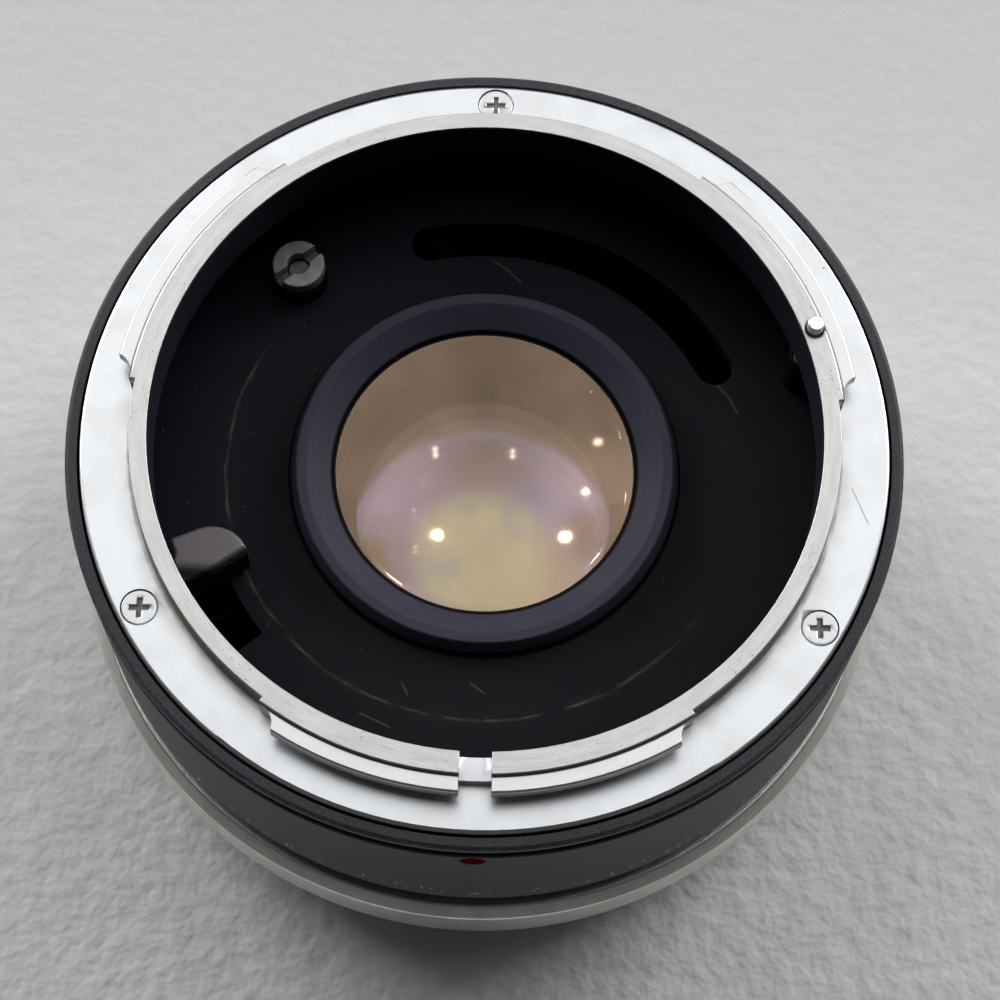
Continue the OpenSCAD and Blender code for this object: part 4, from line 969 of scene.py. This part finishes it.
@dataclass
class Chamber:
    """What shows in the throat: baffle plate, retainer, finger and slotted nut."""

    plate_edge: float = 0.08
    retainer_edge: float = 0.12
    finger_edge: float = 0.3
    finger_foot: float = 22.35
    nut_edge: float = 0.1

    def build(self) -> None:
        """Builds the plate, the retainer, the finger, the nut and the signal tab."""
        soften("baffle_plate", "black_baffle_plate", Slot.INNER, PlateBlack(), self.plate_edge)
        soften("front_retainer", "bevelled_front_retainer", Slot.INNER, RetainerBlack(),
               self.retainer_edge, 3)
        finger = rounded("stop_down_finger", self.finger_edge, 4,
                         lambda middle: middle.z > self.finger_foot)
        publish(finger, "rounded_stop_down_finger", "stop_down_finger", Slot.DARK_STEEL,
                FINGER_STEEL, body=Body.STOP_DOWN)
        soften("signal_nut", "slotted_signal_nut", Slot.DARK_STEEL, NUT_STEEL, self.nut_edge, 3,
               Body.ROD)
        soften("signal_tab", "black_signal_tab", Slot.INNER, TAB_BLACK, self.plate_edge,
               body=Body.SIGNAL)


@dataclass(frozen=True)
class Element:
    """A lens element: edge, rims and curves of its faces, and a coating for each face.

    A positive curve bulges and a negative one is hollow. The edge runs from the lower face to the
    upper one, with a corner at each point given.
    """

    node: str
    name: str
    edge: tuple[Pair, ...]
    low_rim: float
    top_rim: float
    top_curve: float
    low_curve: float
    coats: tuple[CoatedGlass, CoatedGlass]

    def face(self, rim: float, curve: float, height: float, way: float) -> list[Pair]:
        """Draws one polished face from its rim to the axis.

        Args:
            rim: Radius of the rim.
            curve: Radius of the curve, signed, or 0 for a flat face.
            height: Height of the rim.
            way: 1 for the upper face, -1 for the lower one.

        Returns:
            Radius and height of points along the face.
        """
        rings = [rim * i / FACE_RINGS for i in range(FACE_RINGS, -1, -1)]
        if curve == 0:
            return [(r, height) for r in rings]
        big = abs(curve)
        dip = math.sqrt(big * big - rim ** 2)
        rise = math.copysign(1.0, curve) * way
        return [(r, height + rise * (math.sqrt(big * big - r * r) - dip)) for r in rings]

    def build(self) -> None:
        """Builds the element, with a coating on each face and black lacquer on its edge."""
        low, high = self.edge[0][1], self.edge[-1][1]
        upper = self.face(self.top_rim, self.top_curve, high, 1.0)
        lower = self.face(self.low_rim, self.low_curve, low, -1.0)
        bm = spun([*lower[::-1], *self.edge, *upper])
        for face in bm.faces:
            middle = face.calc_center_median()
            below = middle.z * 2 < (low + high) * MM
            rim = self.low_rim if below else self.top_rim
            if math.hypot(middle.x, middle.y) > rim * MM:
                face.material_index = 2
            elif below:
                face.material_index = 1
        publish(bm, self.name, self.node, Slot.GLASS, *self.coats, EDGE_BLACK)


@dataclass
class Optics:
    """Four coated elements in their cell, with spacers and the rear retainer."""

    cell_edge: float = 0.1
    elements: tuple[Element, ...] = (
        Element("front_element", "amber_front_element",
                ((12.0, 17.0), (12.0, 20.4), (11.2, 20.4), (11.2, 22.2)), 11.25, 11.05,
                -60.0, -60.0, (AMBER_GLASS, PALE_GLASS)),
        Element("second_element", "lilac_second_element", ((12.0, 13.0), (12.0, 15.6)),
                11.25, 11.25, 60.0, 0.0, (PALE_GLASS, LILAC_GLASS)),
        Element("third_element", "pale_third_element", ((10.5, 8.2), (10.5, 11.2)),
                9.75, 9.75, 0.0, -30.0, (PALE_GLASS, PALE_GLASS)),
        Element("rear_element", "green_rear_element", ((10.5, 4.6), (10.5, 6.8)),
                9.75, 9.75, 30.0, 0.0, (PALE_GLASS, GREEN_GLASS)))

    def build(self) -> None:
        """Builds the elements and dresses what holds them."""
        for element in self.elements:
            element.build()
        soften("rear_retainer", "notched_rear_retainer", Slot.INNER, CELL_BLACK, self.cell_edge)
        soften("lens_cell", "black_lens_cell", Slot.INNER, CELL_BLACK, self.cell_edge)
        for node in ("front_spacer", "rear_spacer"):
            dress(node, CELL_BLACK)


@dataclass
class LockingRing:
    """Breech ring with three claws."""

    edge: float = 0.12
    round_from_r: float = 30.0
    round_from_z: float = 7.5
    smooth: float = 20.0

    def build(self) -> None:
        """Builds the ring, rounded at its upper outer edges and left as it is at its claws."""
        ring = rounded("breech_ring", self.edge, 3,
                       lambda middle: (middle.xy.length > self.round_from_r
                                       and middle.z > self.round_from_z),
                       lambda middle: middle.z > self.round_from_z)
        publish(ring, "chrome_locking_ring", "breech_ring", Slot.CHROME, RING_CHROME,
                body=Body.LOCK, smooth=self.smooth, flat_below=self.round_from_z)


def start_wire(bm: Mesh, coil_r: float, low: float, wire_r: float) -> list:
    """Starts a wire with a round section at +X that faces along Y.

    Args:
        bm: Mesh that gets the section.
        coil_r: Millimetres from the axis to the section's middle.
        low: Height of its middle in millimetres.
        wire_r: Radius of the wire in millimetres.

    Returns:
        The section's vertices and edges.
    """
    place = Matrix.Translation((coil_r * MM, 0, low * MM)) @ Matrix.Rotation(math.pi / 2, 4, "X")
    verts = bmesh.ops.create_circle(bm, segments=WIRE_SIDES, radius=wire_r * MM, cap_ends=False,
                                    matrix=place)["verts"]
    return verts + list(dict.fromkeys(edge for vert in verts for edge in vert.link_edges))


def close_wire(bm: Mesh, angle: float) -> None:
    """Caps both ends of a wire, turns its faces outwards and the whole round the axis."""
    bmesh.ops.holes_fill(bm, edges=[edge for edge in bm.edges if edge.is_boundary],
                         sides=WIRE_SIDES)
    bmesh.ops.recalc_face_normals(bm, faces=bm.faces[:])
    bmesh.ops.rotate(bm, cent=(0, 0, 0), matrix=Matrix.Rotation(angle, 3, "Z"), verts=bm.verts[:])


@dataclass(frozen=True)
class TorsionSpring:
    """A torsion spring round the axis: a coil with a leg bent outwards at each end.

    The coil sweeps on from its start and ends at its own height. The second leg turns with a body.
    """

    node: str
    name: str
    body: Body
    start: float
    sweep: float
    low: float
    high: float
    coil_r: float = 16.52
    wire_r: float = 0.2
    bend_r: float = 0.95
    leg_end_r: float = 20.2
    step: float = 5.0
    bend_steps: int = 8

    def build(self) -> None:
        """Builds the spring, blended from the fixed body to the one that winds it."""
        bm = bmesh.new()
        section = start_wire(bm, self.coil_r, self.low, self.wire_r)
        steps = round(self.sweep / self.step)
        rise = UP * (self.high - self.low) * MM / steps
        coil = bmesh.ops.spin(bm, geom=section, cent=(0, 0, 0), axis=UP, dvec=rise, steps=steps,
                              angle=math.radians(self.sweep))["geom_last"]
        for end, angle, side, height in ((section, 0.0, -1, self.low),
                                         (coil, self.sweep, 1, self.high)):
            pivot = polar(self.coil_r + self.bend_r, angle, height)
            bent = bmesh.ops.spin(bm, geom=end, cent=pivot, axis=UP, dvec=(0, 0, 0),
                                  angle=-side * math.pi / 2, steps=self.bend_steps)["geom_last"]
            out = bmesh.ops.extrude_edge_only(
                bm, edges=[e for e in bent if isinstance(e, bmesh.types.BMEdge)])["geom"]
            tip = [v for v in out if isinstance(v, bmesh.types.BMVert)]
            leg = polar(self.leg_end_r - self.coil_r - self.bend_r, angle, 0.0)
            bmesh.ops.translate(bm, vec=leg, verts=tip)
        close_wire(bm, math.radians(self.start))
        piece = publish(bm, self.name, self.node, Slot.STEEL, SPRING_STEEL, body=None)
        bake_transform(piece)


@dataclass(frozen=True)
class PressSpring:
    """A compression spring that a joint presses onto its foot by a stroke.

    Its place is a radius and an angle, and low and high are the middles of its end turns.
    """

    node: str
    name: str
    joint: str
    place: Pair
    coil_r: float
    wire_r: float
    turns: int
    low: float
    high: float
    foot: float
    stroke: float
    turn_steps: int = 32

    def build(self) -> None:
        """Builds the spring, squashed by its joint."""
        bm = bmesh.new()
        section = start_wire(bm, self.coil_r, self.low, self.wire_r)
        steps = self.turn_steps * self.turns
        rise = UP * (self.high - self.low) * MM / steps
        bmesh.ops.spin(bm, geom=section, cent=(0, 0, 0), axis=UP, dvec=rise, steps=steps,
                       angle=math.tau * self.turns)
        spot = polar(*self.place, 0.0)
        close_wire(bm, math.atan2(spot.y, spot.x))
        bmesh.ops.translate(bm, vec=spot, verts=bm.verts[:])
        piece = publish(bm, self.name, self.node, Slot.STEEL, SPRING_STEEL)
        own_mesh(piece)


@dataclass
class Couplers:
    """Turning couplers with their levers, the signal rod, and the springs that bring them back."""

    lever_edge: float = 0.18
    rod_edge: float = 0.1
    springs: tuple[TorsionSpring | PressSpring, ...] = (
        TorsionSpring("stop_down_spring", "stop_down_return_spring", Body.STOP_DOWN,
                      240.0, 683.5, 12.92, 14.58),
        TorsionSpring("signal_spring", "signal_return_spring", Body.SIGNAL,
                      101.0, 419.0, 18.18, 16.62),
        PressSpring("pin_spring", "seat_pin_return_spring", "seat_press", PIN_PLACE,
                    0.815, 0.09, 4, 22.49, 25.41, 22.3, 0.8),
        PressSpring("rod_spring", "signal_rod_return_spring", "signal_press", ROD_PLACE,
                    1.25, 0.16, 6, 12.86, 17.74, 12.6, 2.0))

    def build(self) -> None:
        """Builds the levers, the rod and the springs, and dresses the rings."""
        for node, name, body in (("stop_down_lever", "stop_down_rear_lever", Body.STOP_DOWN),
                                 ("signal_lever", "signal_rear_lever", Body.SIGNAL)):
            soften(node, name, Slot.DARK_STEEL, LEVER_STEEL, self.lever_edge, 3, body)
        soften("signal_rod", "turned_signal_rod", Slot.STEEL, ROD_STEEL, self.rod_edge, 3, Body.ROD)
        for node, finish in (("stop_down_ring", COUPLER_STEEL), ("signal_ring", TAB_BLACK),
                             ("core_frame", CELL_BLACK), ("core_screws", SPRING_STEEL),
                             ("coupler_spacer", BRASS), ("coupler_circlip", SPRING_STEEL)):
            dress(node, finish)
        for spring in self.springs:
            spring.build()


@dataclass
class RearEnd:
    """Rear mount with its screws, guard, well plate and positioning pin."""

    mount_edge: float = 0.08
    guard_edge: float = 0.1
    pin_edge: float = 0.1

    def build(self) -> None:
        """Builds the rear pieces and dresses the ring's hidden stop."""
        soften("rear_mount", "chrome_rear_mount", Slot.CHROME, REAR_CHROME, self.mount_edge)
        dress("rear_mount_screws", REAR_SCREWS)
        soften("rear_guard", "black_rear_guard", Slot.INNER, GUARD_BLACK, self.guard_edge)
        soften("well_plate", "black_well_plate", Slot.INNER, CELL_BLACK, self.mount_edge)
        soften("positioning_pin", "polished_positioning_pin", Slot.STEEL, PIN_STEEL, self.pin_edge,
               3)
        dress("ring_stop_pin", PIN_STEEL)


@dataclass(frozen=True)
class Lamp:
    """An area lamp that faces the part: its place, width and depth in metres, and its radiance."""

    name: str
    spot: Triple
    size: Pair
    radiance: float

    def build(self) -> None:
        """Builds the lamp."""
        lamp = bpy.data.lights.new(self.name, "AREA")
        lamp.shape = "RECTANGLE"
        lamp.size, lamp.size_y = self.size
        lamp.energy = self.radiance * math.pi * math.prod(self.size)
        holder = link(self.name, lamp)
        holder.location = self.spot
        holder.rotation_euler = Vector(self.spot).to_track_quat("Z", "Y").to_euler()


@dataclass
class Studio:
    """Pale floor, soft light from above and both sides, small lamps, and the camera."""

    camera_at: Triple = (0.0, -67.56, 187.07)
    camera_forward: Triple = (0.0068, 0.3679, -0.9298)
    camera_right: Triple = (0.9995, 0.0264, 0.0177)
    lens: float = 86.4
    clip_start: float = 10.0
    floor_half: float = 2000.0
    floor_cells: int = 4
    sky: str = "#fbfbff"
    sky_level: float = 0.05
    lamps: tuple[Lamp, ...] = (
        Lamp("overhead_softbox", (0.03, 0.23, 0.62), (0.7, 0.46), 1.32),
        Lamp("left_window", (-0.72, 0.62, 0.40), (0.6, 0.5), 8.6),
        Lamp("right_window", (0.74, 0.58, 0.40), (0.6, 0.5), 8.4),
        Lamp("small_lamp_left", (-0.0955, 0.335, 0.60), (0.008, 0.008), 90.0),
        Lamp("small_lamp_right", (0.052, 0.333, 0.60), (0.008, 0.008), 90.0),
        Lamp("far_lamp_near", (-0.115, 0.265, 0.60), (0.004, 0.004), 50.0),
        Lamp("far_lamp_middle", (-0.126, 0.193, 0.60), (0.004, 0.004), 50.0),
        Lamp("far_lamp_back", (-0.119, 0.121, 0.60), (0.004, 0.004), 50.0))

    def build(self) -> None:
        """Builds the floor, the lights and the camera."""
        bpy.context.scene.view_settings.view_transform = "Standard"
        bm = bmesh.new()
        bmesh.ops.create_grid(bm, x_segments=self.floor_cells, y_segments=self.floor_cells,
                              size=self.floor_half * MM)
        mesh = bpy.data.meshes.new("paper_floor")
        bm.to_mesh(mesh)
        bm.free()
        mesh.materials.append(material_of(FloorPaper()))
        link("paper_floor", mesh)
        self.build_sky()
        for lamp in self.lamps:
            lamp.build()
        self.build_camera()

    def build_sky(self) -> None:
        """Builds an even sky."""
        world = bpy.data.worlds.new("even_sky")
        world.use_nodes = True
        world.node_tree.nodes.clear()
        sky = add(world.node_tree, "ShaderNodeBackground",
                  {"Color": linear(self.sky), "Strength": self.sky_level})
        add(world.node_tree, "ShaderNodeOutputWorld", {0: sky.outputs[0]})
        bpy.context.scene.world = world

    def build_camera(self) -> None:
        """Builds the camera at the photograph's angle."""
        data = bpy.data.cameras.new("photo_camera")
        data.lens = self.lens
        data.clip_start = self.clip_start * MM
        camera = link("photo_camera", data)
        forward = Vector(self.camera_forward).normalized()
        right = Vector(self.camera_right)
        right = (right - forward * right.dot(forward)).normalized()
        turn = Matrix((right, right.cross(forward), -forward)).transposed()
        camera.matrix_world = Matrix.Translation(Vector(self.camera_at) * MM) @ turn.to_4x4()
        bpy.context.scene.camera = camera


def main() -> None:
    """Loads the frame, dresses it and writes both boxes."""
    logging.basicConfig(level=logging.INFO, format="%(name)s: %(message)s")
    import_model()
    for assembly in (Studio(), Housing(), FrontEnd(), Chamber(), Optics(), Couplers(),
                     LockingRing(), RearEnd()):
        LOG.info("%s", type(assembly).__doc__.splitlines()[0])
        assembly.build()


if __name__ == "__main__":
    main()
